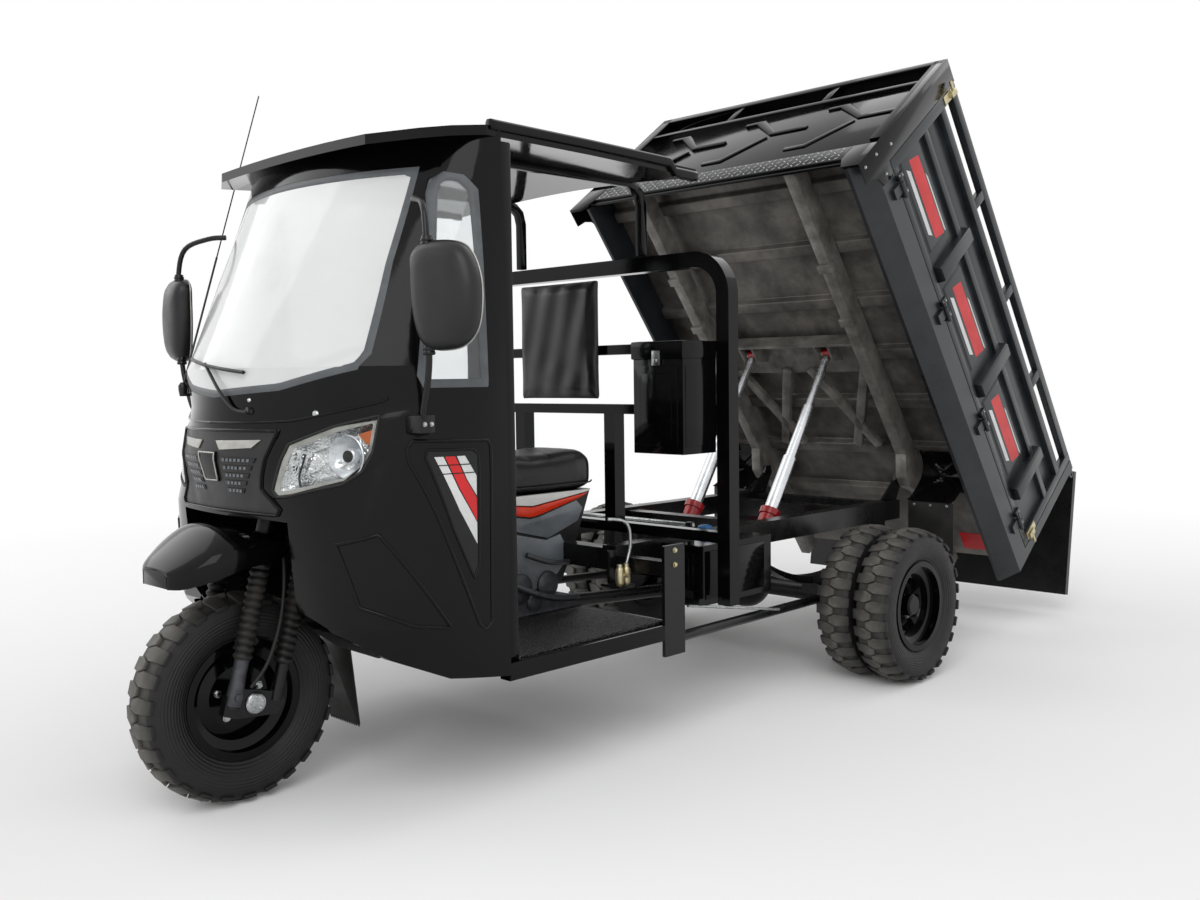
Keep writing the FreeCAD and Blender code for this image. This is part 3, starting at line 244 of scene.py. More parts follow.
# cured tread rubber: near-black walls with moulded rings, crowns scuffed pale by the road; lengths in millimetres
def makeTyreRubber(name, spec):
    rubber = {"tones": [(0.05, "#161616"), (0.5, "#5a5853"), (0.75, "#77746c")], "patch": 40.0, "ring": 9.0,
              "grain": 2.4, "grainHeight": 0.4, "ringHeight": 1.2, "crown": (268.0, 286.0), "wall": (246.0, 238.0),
              "rough": (0.42, 0.75)}
    material, tree, shader, place = newMaterial(name, {"IOR": 1.52, "Specular IOR Level": 0.4})
    fromAxle = addNode(tree, "ShaderNodeVectorMath", {"operation": "SUBTRACT"}, i0=place)
    fromAxle.inputs[1].default_value = (0.0, spec["axle"][0] * 1000, spec["axle"][1] * 1000)
    flat = addNode(tree, "ShaderNodeVectorMath", {"operation": "MULTIPLY"}, i0=fromAxle)
    flat.inputs[1].default_value = (0, 1, 1)
    radius = addNode(tree, "ShaderNodeVectorMath", {"operation": "LENGTH"}, i0=flat).outputs["Value"]
    noise = {"Scale": 1 / rubber["patch"], "Detail": 7.0, "Roughness": 0.7}
    patch = addNode(tree, "ShaderNodeTexNoise", noise, Vector=place)
    low, high = rubber["crown"]
    crown = addNode(tree, "ShaderNodeMapRange", {"From Min": low, "From Max": high}, Value=radius)
    worn = addNode(tree, "ShaderNodeMath", {"operation": "MULTIPLY"}, i0=crown, i1=patch)
    tones = addNode(tree, "ShaderNodeValToRGB", {"stops": rubber["tones"]}, Fac=worn)
    tree.links.new(tones.outputs[0], shader.inputs["Base Color"])
    low, high = rubber["rough"]
    rough = addNode(tree, "ShaderNodeMapRange", {"To Min": low, "To Max": high}, Value=patch)
    tree.links.new(rough.outputs[0], shader.inputs["Roughness"])
    turns = addNode(tree, "ShaderNodeMath", {"operation": "DIVIDE"}, i0=radius)
    turns.inputs[1].default_value = rubber["ring"] / (2 * math.pi)
    rings = addNode(tree, "ShaderNodeMath", {"operation": "SINE"}, i0=turns)
    low, high = rubber["wall"]
    wallOnly = addNode(tree, "ShaderNodeMapRange", {"From Min": low, "From Max": high}, Value=radius)
    ringRelief = addNode(tree, "ShaderNodeMath", {"operation": "MULTIPLY"}, i0=rings, i1=wallOnly)
    grain = addNode(tree, "ShaderNodeTexNoise", {"Scale": 1 / rubber["grain"], "Detail": 2.0}, Vector=place)
    fine = addNode(tree, "ShaderNodeBump", {"Strength": 0.2, "Distance": rubber["grainHeight"] / 1000}, Height=grain)
    relief = addNode(tree, "ShaderNodeBump", {"Strength": 0.5, "Distance": rubber["ringHeight"] / 1000},
                     Height=ringRelief, Normal=fine)
    tree.links.new(relief.outputs[0], shader.inputs["Normal"])
    return material


# where the wheels turn: y and z of each axle
frontAxle, rearAxle = (-1.8405, 0.288), (0.4775, 0.288)
treadSpecs = {
    "frontTreadRubber": {"axle": frontAxle, "slot": "tyre_rubber", "nodes": ["front_tyre"]},
    "rearTreadRubber": {"axle": rearAxle, "slot": "tyre_rubber", "nodes": ["tyres_left", "tyres_right"]},
}

finishes, slots = {}, {}
for make, specs in ((makeFinish, finishSpecs), (makeGlass, glassSpecs), (makeTyreRubber, treadSpecs)):
    for name, spec in specs.items():
        finishes[name], slots[name] = make(name, spec), spec.get("slot")
        for node in spec.get("nodes", []):
            nodes[node].data.materials.clear()
            nodes[node].data.materials.append(finishes[name])
print("finishes made and frame nodes dressed:", len(finishes))


# a shape is a list of points and a list of faces; each piece gathers what it is made of in one shape,
# and every function that adds to a shape gives it back, except addTyre
def newShape():
    return {"points": [], "faces": []}


def addFaces(shape, points, faces):
    base = len(shape["points"])
    shape["points"] += points
    shape["faces"] += [tuple(base + i for i in face) for face in faces]
    return shape


def addPrism(shape, outline, along):
    count = len(outline)
    points = [Vector(p) for p in outline] + [Vector(p) + Vector(along) for p in outline]
    walls = [(i, (i + 1) % count, count + (i + 1) % count, count + i) for i in range(count)]
    return addFaces(shape, points, [tuple(range(count)), tuple(range(count, 2 * count))] + walls)


def addRings(shape, rings, closed=True):
    count, last = len(rings[0]), len(rings) - 1
    faces = []
    for i in range(last):
        for j in range(count):
            k = (j + 1) % count
            faces.append((i * count + j, i * count + k, (i + 1) * count + k, (i + 1) * count + j))
    if closed:
        faces += [tuple(range(count)), tuple(range(last * count, (last + 1) * count))]
    return addFaces(shape, [p for ring in rings for p in ring], faces)


def circleAngles(steps):
    return [2 * math.pi * j / steps for j in range(steps)]


def crossAxes(axis):
    axis = Vector(axis).normalized()
    side = axis.orthogonal().normalized()
    return axis, side, axis.cross(side)


# turned part: pairs of (distance along the axis, radius)
def addTurned(shape, profile, at, axis, steps=28):
    axis, side, lift = crossAxes(axis)
    rings = []
    for along, radius in profile:
        centre, radius = Vector(at) + axis * along, max(radius, 0.00005)
        rings.append([centre + (side * math.cos(a) + lift * math.sin(a)) * radius for a in circleAngles(steps)])
    return addRings(shape, rings)


def addTube(shape, path, radius, steps=10):
    path = [Vector(p) for p in path]
    side = crossAxes(path[1] - path[0])[1]
    rings = []
    for i, p in enumerate(path):
        ahead = (path[min(i + 1, len(path) - 1)] - path[max(i - 1, 0)]).normalized()
        side = (side - ahead * side.dot(ahead)).normalized()
        lift = ahead.cross(side)
        rings.append([p + (side * math.cos(a) + lift * math.sin(a)) * radius for a in circleAngles(steps)])
    return addRings(shape, rings)


# hexagon heads on washers, sized from the thread
def addBolts(shape, places, axis, thread):
    for at in places:
        addTurned(shape, [(0, thread), (thread * 0.2, thread), (thread * 0.22, thread * 0.92)], at, axis, 18)
        head = [(thread * 0.2, thread * 0.86), (thread * 0.8, thread * 0.86), (thread * 0.9, thread * 0.7)]
        addTurned(shape, head, at, axis, 6)
    return shape


# upright blocks, each from its low corner to its high corner
def addBlocks(shape, blocks):
    for (x0, y0, z0), (x1, y1, z1) in blocks:
        addPrism(shape, [(x0, y0, z0), (x1, y0, z0), (x1, y1, z0), (x0, y1, z0)], Vector((0, 0, z1 - z0)))
    return shape


def smoothPath(points, each=6):
    points = [Vector(p) for p in points]
    path = []
    for i in range(len(points) - 1):
        a, b, c, d = points[max(i - 1, 0)], points[i], points[i + 1], points[min(i + 2, len(points) - 1)]
        for k in range(each):
            t = k / each
            bend, ease = (2 * a - 5 * b + 4 * c - d) * t * t, (3 * b - a - 3 * c + d) * t ** 3
            path.append(0.5 * (2 * b + (c - a) * t + bend + ease))
    return path + [points[-1]]


def mirrorShape(shape):
    return {"points": [Vector((-p[0], p[1], p[2])) for p in shape["points"]], "faces": list(shape["faces"])}


def newPiece(name, body, finish, shape, crease=35, bevel=0.0, thick=0.0, replaces=None):
    mesh = bpy.data.meshes.new(name)
    mesh.from_pydata([tuple(p) for p in shape["points"]], [], shape["faces"])
    work = bmesh.new()
    work.from_mesh(mesh)
    bmesh.ops.remove_doubles(work, verts=work.verts, dist=1e-6)
    bmesh.ops.recalc_face_normals(work, faces=work.faces)
    if thick:
        rims = [e for e in work.edges if e.is_boundary]
        work.normal_update()
        normals = {v: v.normal.copy() for v in work.verts}
        copies = bmesh.ops.duplicate(work, geom=work.verts[:] + work.edges[:] + work.faces[:])["vert_map"]
        for v, normal in normals.items():
            copies[v].co -= normal * thick
        for e in rims:
            work.faces.new((e.verts[0], e.verts[1], copies[e.verts[1]], copies[e.verts[0]]))
        bmesh.ops.recalc_face_normals(work, faces=work.faces)
    if bevel:
        sharp = [e for e in work.edges if len(e.link_faces) == 2 and e.calc_face_angle(0) > math.radians(30)]
        bmesh.ops.bevel(work, geom=sharp, offset=bevel, segments=2, profile=0.5, affect="EDGES", clamp_overlap=True)
    for face in work.faces:
        face.smooth = True
    work.to_mesh(mesh)
    work.free()
    mesh.set_sharp_from_angle(angle=math.radians(crease))
    mesh.materials.append(finishes[finish])
    piece = bpy.data.objects.new(name, mesh)
    scene.collection.objects.link(piece)
    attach(piece, body)
    if replaces:
        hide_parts(replaces)
    return piece


# a piece on the left of the chassis and its mirror image on the right
def newPair(name, finish, shape, **how):
    for side, half in (("Left", shape), ("Right", mirrorShape(shape))):
        newPiece(name + side, "chassis", finish, half, **how)


trees = {}


# where a ray meets the skin of some nodes, lifted towards where it came from
def landOn(skin, origin, toward, lift=0.0):
    if skin not in trees:
        points, faces = [], []
        for node in skin:
            mesh, base = nodes[node].data, len(points)
            points += [v.co.copy() for v in mesh.vertices]
            faces += [tuple(base + i for i in p.vertices) for p in mesh.polygons]
        trees[skin] = BVHTree.FromPolygons(points, faces)
    origin, toward = Vector(origin), Vector(toward).normalized()
    place = trees[skin].ray_cast(origin, toward)[0]
    if place is None:
        place = trees[skin].find_nearest(origin + toward * 0.9)[0]
    return place - toward * lift


# a view turns flat coordinates into a place before the object, and has the direction towards it
def fromFront(u, w):
    return Vector((u, -2.6, w))


def fromLeft(u, w):
    return Vector((1.3, u, w))


def fromAbove(u, w):
    return Vector((u, w, 0.7))


frontView, leftView, topView = (fromFront, (0, 1, 0)), (fromLeft, (-1, 0, 0)), (fromAbove, (0, 0, -1))


# a thin sheet with this outline in the view, cut into cells and laid on the surface of some nodes
def sheetOn(skin, outline, view, lift, cell=0.02):
    across, toward = view
    work = bmesh.new()
    work.faces.new([work.verts.new(across(u, w)) for u, w in outline])
    for turn in (0, 1):
        values = [corner[turn] for corner in outline]
        axis = (across(1 - turn, turn) - across(0, 0)).normalized()
        for k in range(1, int((max(values) - min(values)) / cell) + 1):
            cut, geometry = min(values) + k * cell, work.verts[:] + work.edges[:] + work.faces[:]
            place = across(cut * (1 - turn), cut * turn)
            bmesh.ops.bisect_plane(work, geom=geometry, plane_co=place, plane_no=axis)
    bmesh.ops.triangulate(work, faces=[f for f in work.faces if len(f.verts) > 4])
    work.verts.index_update()
    points = [landOn(skin, v.co, toward, lift) for v in work.verts]
    shape = addFaces(newShape(), points, [[v.index for v in f.verts] for f in work.faces])
    work.free()
    return shape


def insetOutline(outline, by):
    area = sum(a[0] * b[1] - b[0] * a[1] for a, b in zip(outline, outline[1:] + outline[:1]))
    turn = 1 if area > 0 else -1
    moved = []
    for i, p in enumerate(outline):
        a, b = outline[i - 1], outline[(i + 1) % len(outline)]
        u = Vector((p[0] - a[0], p[1] - a[1])).normalized()
        w = Vector((b[0] - p[0], b[1] - p[1])).normalized()
        normal = Vector((-(u.y + w.y), u.x + w.x)) * turn
        normal.normalize()
        reach = by / max(0.35, normal.dot(Vector((-u.y, u.x)) * turn))
        moved.append((p[0] + normal.x * reach, p[1] + normal.y * reach))
    return moved


def outlinePath(outline, step):
    path = []
    for a, b in zip(outline, outline[1:] + outline[:1]):
        count = max(1, int(math.dist(a, b) / step))
        path += [(a[0] + (b[0] - a[0]) * k / count, a[1] + (b[1] - a[1]) * k / count) for k in range(count)]
    return path


# a round bead that follows an outline over the surface
def addBead(shape, skin, outline, view, lift, radius, step):
    across, toward = view
    line = [landOn(skin, across(u, w), toward, lift) for u, w in outlinePath(outline, step)]
    return addTube(shape, line + line[:1], radius, 8)


def outlineReach(outline, centre, angle):
    ray = (math.cos(angle), math.sin(angle))
    best = 0.001
    for a, b in zip(outline, outline[1:] + outline[:1]):
        ax, ay, bx, by = a[0] - centre[0], a[1] - centre[1], b[0] - centre[0], b[1] - centre[1]
        across = ray[0] * (by - ay) - ray[1] * (bx - ax)
        if abs(across) > 1e-9:
            t = (ax * (by - ay) - ay * (bx - ax)) / across
            s = (ax * ray[1] - ay * ray[0]) / across
            if t > best and -1e-6 <= s <= 1 + 1e-6:
                best = t
    return best


# rings of points between two outlines round a centre; depths are how far each ring lies above the surface
def addBand(shape, skin, outer, inner, centre, view, depths, steps):
    across, toward = view
    rings = []
    for k, depth in enumerate(depths):
        share = k / (len(depths) - 1)
        ring = []
        for angle in circleAngles(steps):
            reach = outlineReach(outer, centre, angle) * (1 - share)
            reach += (outlineReach(inner, centre, angle) if inner else 0.0005) * share
            place = across(centre[0] + math.cos(angle) * reach, centre[1] + math.sin(angle) * reach)
            ring.append(landOn(skin, place, toward, depth))
        rings.append(ring)
    return addRings(shape, rings, closed=False)


# the bed's own axes: across, rearward from its pivot and away from its floor, all at the raised rest pose
bedPivot, bedTilt = Vector((0, 1.1075, 0.7)), math.radians(52.9)
bedBack = Vector((0, math.cos(bedTilt), -math.sin(bedTilt)))
bedLift = Vector((0, math.sin(bedTilt), math.cos(bedTilt)))


def onBed(across, rearward, outward):
    return bedPivot + Vector((across, 0, 0)) + bedBack * rearward + bedLift * outward


def bedStep(rearward, outward):
    return onBed(0, rearward, outward) - onBed(0, 0, 0)


def addBedBox(shape, x0, x1, r0, r1, n0, n1):
    return addPrism(shape, [onBed(x0, r, n) for r, n in ((r0, n0), (r1, n0), (r1, n1), (r0, n1))], (x1 - x0, 0, 0))


# a bar along the bed's own axes with its middle at x
def addBedBar(shape, x, half, r0, r1, n0, n1):
    return addBedBox(shape, x - half, x + half, r0, r1, n0, n1)


# the fork's own axes: across, ahead of the steering axis and up along it
steerPoint, rake = Vector((0, -1.7525, 0.65)), math.radians(14.5)
forkAhead, forkUp = Vector((0, -math.cos(rake), math.sin(rake))), Vector((0, math.sin(rake), math.cos(rake)))


def onFork(across, ahead, up):
    return steerPoint + Vector((across, 0, 0)) + forkAhead * ahead + forkUp * up


forkAxis = onFork(0, 0, 1) - onFork(0, 0, 0)


# tyres: carcass with a rounded shoulder and two staggered rows of six-sided blocks that interlock;
# profile is (across, radius) from the bead to the crown, block is (across, share of the pitch)
tyre = {
    "radius": 0.288, "floor": 0.262, "blocks": 26, "steps": 96, "taper": 0.9, "shoulder": 0.054,
    "bead": (0.036, 0.1504),
    "profile": [(0.044, 0.1504), (0.0445, 0.168), (0.056, 0.182), (0.066, 0.205), (0.0685, 0.225), (0.067, 0.246),
        (0.06, 0.265), (0.05, 0.2735), (0.03, 0.2765)],
    "block": [(-0.009, -0.17), (0.015, -0.33), (0.0685, -0.29), (0.0685, 0.29), (0.015, 0.33), (-0.009, 0.17)]}


def addTyre(shape, x, axle):
    y, z = axle

    def onTyre(across, radius, angle):
        return Vector((x + across, y + radius * math.sin(angle), z + radius * math.cos(angle)))

    bead, reach = tyre["bead"]
    profile = tyre["profile"] + [(-a, r) for a, r in reversed(tyre["profile"])] + [(-bead, reach), (bead, reach)]
    steps, count = tyre["steps"], len(profile)
    points = [onTyre(a, r, angle) for angle in circleAngles(steps) for a, r in profile]
    faces = []
    for i in range(steps):
        for j in range(count):
            k, m = (i + 1) % steps * count, (j + 1) % count
            faces.append((i * count + j, i * count + m, k + m, k + j))
    addFaces(shape, points, faces)
    pitch = 2 * math.pi / tyre["blocks"]
    for k in range(tyre["blocks"]):
        for side, shift in ((1, 0.0), (-1, 0.5)):
            root = [onTyre(side * a, tyre["floor"], (k + shift + s) * pitch) for a, s in tyre["block"]]
            top = []
            for a, s in tyre["block"]:
                out, crown = a if a > 0.06 else a + 0.001, tyre["radius"] - max(0.0, a - tyre["shoulder"]) * 1.1
                top.append(onTyre(side * out, crown, (k + shift + s * tyre["taper"]) * pitch))
            addRings(shape, [root, top])


for name, body, finish, places, axle, replaced in (
        ("frontTyreTread", "front_wheel", "frontTreadRubber", [0.0], frontAxle, "front_tyre"),
        ("leftTwinTyres", "left_wheels", "rearTreadRubber", [0.752, 0.597], rearAxle, "tyres_left"),
        ("rightTwinTyres", "right_wheels", "rearTreadRubber", [-0.752, -0.597], rearAxle, "tyres_right")):
    shape = newShape()
    for x in places:
        addTyre(shape, x, axle)
    newPiece(name, body, finish, shape, crease=28, bevel=0.0012, replaces=replaced)

# five wheel nuts on their studs, and the caps at the front axle's ends with five small studs
nuts = {
    "circle": 0.064, "thread": 0.011,
    "wheels": [("leftWheelNuts", "left_wheels", 0.7255, 1, rearAxle),
        ("rightWheelNuts", "right_wheels", -0.7255, -1, rearAxle),
        ("frontWheelNuts", "front_wheel", 0.0175, 1, frontAxle)]}
cap = {
    "x": 0.1105, "circle": 0.017, "dome": [(0, 0.03), (0.004, 0.03), (0.009, 0.026), (0.011, 0.018), (0.0112, 0.0)],
    "stud": [(0.008, 0.0045), (0.0125, 0.0045), (0.0135, 0.003)]}


def fiveRound(x, axle, circle):
    angles = [math.radians(72 * k) for k in range(5)]
    return [(x, axle[0] + circle * math.sin(a), axle[1] + circle * math.cos(a)) for a in angles]


for name, body, x, side, axle in nuts["wheels"]:
    shape = addBolts(newShape(), fiveRound(x, axle, nuts["circle"]), (side, 0, 0), nuts["thread"])
    newPiece(name, body, "zincPlatedSteel", shape)
shape = newShape()
for side in (-1, 1):
    addTurned(shape, cap["dome"], (side * cap["x"], *frontAxle), (side, 0, 0), 36)
    for at in fiveRound(side * cap["x"], frontAxle, cap["circle"]):
        addTurned(shape, cap["stud"], at, (side, 0, 0), 10)
newPiece("frontAxleCaps", "fork", "zincPlatedSteel", shape, bevel=0.0005)
print("wheels made")

# fork: ridged gaiters, cast sliders and the brake pipe; places are in the fork's own axes
fork = {
    "spread": 0.105, "legFore": 0.0566, "legBack": -0.0674, "gaiterLow": -0.2625, "gaiterHigh": 0.022, "ridges": 14,
    "ridge": [(0, 0.0205), (0.25, 0.0245), (0.5, 0.027), (0.75, 0.0245)], "sliderFoot": -0.385,
    "slider": [(0, 0.02), (0.03, 0.022), (0.075, 0.0195), (0.12, 0.0195), (0.124, 0.022), (0.132, 0.022)],
    "pinch": (0.125, -0.36), "pinchBolt": [(0, 0.012), (0.006, 0.012)]}
pipe = {
    "radius": 0.005, "clip": 0.0035, "clips": (-0.2, -0.09), "clipFrom": 0.105, "clipTo": 0.146,
    "clipAhead": -0.012,
    "path": [(0.132, 0.03, -0.33), (0.14, 0.0, -0.26), (0.142, -0.012, -0.15), (0.138, -0.005, -0.05),
        (0.128, 0.01, 0.034)]}
ridge = (fork["gaiterHigh"] - fork["gaiterLow"]) / fork["ridges"]
profile = [((k + part) * ridge, radius) for k in range(fork["ridges"]) for part, radius in fork["ridge"]]
profile.append((fork["ridges"] * ridge, fork["ridge"][0][1]))
gaiters, sliders, hose = newShape(), newShape(), newShape()
for side in (-1, 1):
    for ahead in (fork["legFore"], fork["legBack"]):
        addTurned(gaiters, profile, onFork(side * fork["spread"], ahead, fork["gaiterLow"]), forkAxis, 22)
    foot = onFork(side * fork["spread"], fork["legFore"], fork["sliderFoot"])
    addTurned(sliders, fork["slider"], foot, forkAxis, 20)
    x, up = fork["pinch"]
    addTurned(sliders, fork["pinchBolt"], onFork(side * x, fork["legFore"], up), (side, 0, 0), 6)
newPiece("forkGaiters", "fork", "sheetRubber", gaiters, crease=60)
newPiece("forkSliders", "fork", "sandCastAlloy", sliders, bevel=0.001)
addTube(hose, smoothPath([onFork(*p) for p in pipe["path"]]), pipe["radius"])
for up in pipe["clips"]:
    addTube(hose, [onFork(x, pipe["clipAhead"], up) for x in (pipe["clipFrom"], pipe["clipTo"])], pipe["clip"], 8)
newPiece("frontBrakePipe", "fork", "sheetRubber", hose, crease=60)

# beaked fender with an upright lip, in rows of
# (place from the axle, half width, height of the edge, height of the crown)
fender = {
    "lip": 0.038, "wall": 0.006, "arch": 20, "strut": 0.012, "strutFrom": 0.03, "strutTo": 0.068,
    "rows": [(-0.214, 0.072, 0.619, 0.668), (-0.19, 0.118, 0.622, 0.694), (-0.132, 0.162, 0.64, 0.742),
        (-0.085, 0.17, 0.654, 0.772), (-0.05, 0.17, 0.662, 0.764), (0.01, 0.168, 0.67, 0.757),
        (0.07, 0.166, 0.68, 0.738)],
    "nose": [(-0.071, 0.62), (-0.071, 0.652), (-0.05, 0.661), (0, 0.666), (0.05, 0.661), (0.071, 0.652),
        (0.071, 0.62)]}
edges = smoothPath([(dy, half, edge) for dy, half, edge, crown in fender["rows"]], 4)
crowns = smoothPath([(dy, crown, 0) for dy, half, edge, crown in fender["rows"]], 4)
rings = []
for (dy, half, edge), (_, crown, _) in zip(edges, crowns):
    y, wall, lip = frontAxle[0] + dy, fender["wall"], min(edge + fender["lip"], crown - 0.004)
    sweep = [math.pi * k / fender["arch"] for k in range(fender["arch"] + 1)]
    over = [Vector((-half * math.cos(t), y, lip + (crown - lip) * math.sin(t) ** 0.9)) for t in sweep]
    under = [Vector((p[0] * (half - wall) / half, y, p[2] - wall)) for p in reversed(over)]
    left, right = [Vector((-half, y, edge))], [Vector((half, y, edge)), Vector((half - wall, y, edge))]
    rings.append(left + over + right + under + [Vector((wall - half, y, edge))])
shape = addRings(newShape(), rings)
addPrism(shape, [(x, frontAxle[0] + fender["rows"][0][0], z) for x, z in fender["nose"]], (0, fender["wall"], 0))
for side in (-1, 1):
    foot, head = [onFork(side * fork["spread"], fork["legFore"], fender[end]) for end in ("strutFrom", "strutTo")]
    half = fender["strut"]
    corners = [Vector((x, y, 0)) for x, y in ((-half, -half), (half, -half), (half, half), (-half, half))]
    addPrism(shape, [foot + corner for corner in corners], head - foot)
newPiece("beakedFender", "fork", "stovedBlackEnamel", shape, crease=38, bevel=0.0008, replaces="front_fender")
print("fork dressed")

# nose: grille, blank badge and the panels round the lamps, drawn as the front view shows them
noseSkin = ("cab_nose", "headlamps", "grille")
grille = {
    "outline": [(0.255, 1.026), (0.214, 0.906), (0.207, 0.872), (0.266, 0.82), (0.252, 0.8), (-0.252, 0.8),
        (-0.266, 0.82), (-0.207, 0.872), (-0.214, 0.906), (-0.255, 1.026)],
    "slats": 5, "top": 0.944, "drop": 0.0205, "narrower": 0.014, "slatFrom": 0.062, "slatTo": 0.196,
    "dashFrom": 0.072, "dashTo": 0.19, "dashPitch": 0.0155,
    "accent": [(0.038, 0.995), (0.205, 0.999), (0.178, 0.978), (0.058, 0.971)],
    "badge": [(-0.05, 0.966), (0.044, 0.966), (0.034, 0.884), (-0.04, 0.884)]}
lamp = {
    "outline": [(0.255, 0.855), (0.243, 0.87), (0.284, 0.986), (0.389, 1.031), (0.483, 1.057), (0.479, 0.969),
        (0.463, 0.92), (0.428, 0.891), (0.279, 0.856)],
    "opening": [(0.185, 0.84), (0.178, 0.872), (0.212, 0.993), (0.33, 1.03), (0.54, 1.074), (0.53, 0.98),
        (0.44, 0.886), (0.3, 0.852)],
    "centre": (0.375, 0.955), "projector": (0.418, -1.7235, 0.957), "aim": (0.3, -0.95, 0.02), "steps": 144,
    "bowl": [(-0.004, 0.016), (0.002, 0.03), (0.012, 0.044), (0.024, 0.053), (0.03, 0.056), (0.032, 0.054),
        (0.026, 0.05), (0.014, 0.041), (0.004, 0.026), (0.0, 0.014)],
    "socket": [(0.0, 0.02), (0.014, 0.022), (0.02, 0.0195), (0.022, 0.016)],
    "shield": [(0.0095, 0.0155), (0.012, 0.0155), (0.0135, 0.012), (0.0142, 0.006), (0.0144, 0.0)],
    "blade": [(0.318, -1.792, 0.962), (0.31, -1.796, 0.938), (0.3, -1.801, 0.905), (0.305, -1.801, 0.878)],
    "amber": [(0.436, 1.012), (0.475, 1.028), (0.474, 0.985), (0.455, 0.99)]}


# a band between two insets of the lamp's outline, or down to its centre
def addLampBand(shape, skin, outer, inner, depths, steps=lamp["steps"]):
    rim = outer if isinstance(outer, list) else insetOutline(lamp["outline"], outer)
    core = None if inner is None else insetOutline(lamp["outline"], inner)
    return addBand(shape, skin, rim, core, lamp["centre"], frontView, depths, steps)


lampSkin = noseSkin + ("cab_side_left", "cab_side_right")
surround = addLampBand(newShape(), lampSkin, lamp["opening"], -0.002, [0.0008, 0.0022, 0.003, 0.003], 120)
newPair("lampSurround", "stovedBlackEnamel", surround, thick=0.003)

shape = sheetOn(noseSkin, grille["outline"], frontView, 0.004)
newPiece("grillePanel", "chassis", "grainedAbs", shape, thick=0.006, bevel=0.0008, replaces="grille")
shape = addBead(newShape(), noseSkin, insetOutline(grille["outline"], 0.004), frontView, 0.0055, 0.0042, 0.01)
newPiece("grilleRim", "chassis", "stovedBlackEnamel", shape, crease=60)
slats, dashes = newShape(), newShape()
for k in range(grille["slats"]):
    z = grille["top"] - k * grille["drop"]
    near, far = grille["slatFrom"], grille["slatTo"] - k * grille["narrower"]
    count = int((grille["dashTo"] - k * grille["narrower"] - grille["dashFrom"]) / grille["dashPitch"])
    for side in (-1, 1):
        low, high = z - 0.0055, z + 0.0075
        strip = [(side * near, high), (side * far, high), (side * (far - 0.008), low), (side * near, low)]
        part = sheetOn(noseSkin, strip, frontView, 0.0065)
        addFaces(slats, part["points"], part["faces"])
        for j in range(count):
            u, low, high = side * (grille["dashFrom"] + j * grille["dashPitch"]), z - 0.003, z + 0.0045
            dash = [(u, low), (u + side * 0.0085, low), (u + side * 0.0115, high), (u + side * 0.003, high)]
            part = sheetOn(noseSkin, dash, frontView, 0.0078)
            addFaces(dashes, part["points"], part["faces"])
newPiece("grilleSlats", "chassis", "grainedAbs", slats, thick=0.004, bevel=0.001)
newPiece("grilleDashes", "chassis", "greyMouldedAbs", dashes, thick=0.0014)
shape = sheetOn(noseSkin, grille["accent"], frontView, 0.0075)
newPair("grilleAccent", "satinSilverTrim", shape, thick=0.003, bevel=0.0006)
shape = sheetOn(noseSkin, grille["badge"], frontView, 0.0095)
newPiece("blankBadge", "chassis", "stovedBlackEnamel", shape, thick=0.006, bevel=0.0012)
shape = addBead(newShape(), noseSkin, insetOutline(grille["badge"], 0.0035), frontView, 0.0098, 0.0021, 0.008)
newPiece("badgeRim", "chassis", "satinSilverTrim", shape, crease=60)

# lamps, from the clear lens inwards to the fluted reflector, the bright bowl and its shield
lensShape = addLampBand(newShape(), noseSkin, 0.001, None, [0.001, 0.0035, 0.0042, 0.0046, 0.0048, 0.0048])
border = addLampBand(newShape(), noseSkin, 0.0015, 0.012, [-0.001, -0.0035, -0.006])
reflector = addLampBand(newShape(), noseSkin, 0.011, 0.026, [-0.006, -0.02, -0.026, -0.034])
addLampBand(reflector, noseSkin, 0.026, None, [-0.034, -0.036, -0.03, -0.038, -0.033, -0.038, -0.04])
at, aim = Vector(lamp["projector"]), Vector(lamp["aim"]).normalized()
bowl = addTurned(newShape(), lamp["bowl"], at - aim * 0.012, aim, 40)
addTurned(bowl, lamp["socket"], at - aim * 0.012, aim, 32)
shield = addTurned(newShape(), lamp["shield"], at, aim, 28)
addTube(shield, smoothPath(lamp["blade"]), 0.003, 8)
amber = sheetOn(noseSkin, lamp["amber"], frontView, -0.012, 0.008)
gasket = addBead(newShape(), noseSkin, insetOutline(lamp["outline"], -0.0025), frontView, 0.0015, 0.0038, 0.008)
for part, finish, shape, thick in (
        ("Lens", "clearPolycarbonate", lensShape, 0.002), ("Border", "satinSilverTrim", border, 0.0015),
        ("Reflector", "metallisedPolycarbonate", reflector, 0.0015), ("Bowl", "hardChromedSteel", bowl, 0),
        ("Shield", "grainedAbs", shield, 0), ("Indicator", "amberPolycarbonate", amber, 0.003),
        ("Gasket", "sheetRubber", gasket, 0)):
    replaced = "headlamps" if part == "Lens" else None
    newPair("lamp" + part, finish, shape, crease=50, thick=thick, replaces=replaced)
print("nose dressed")

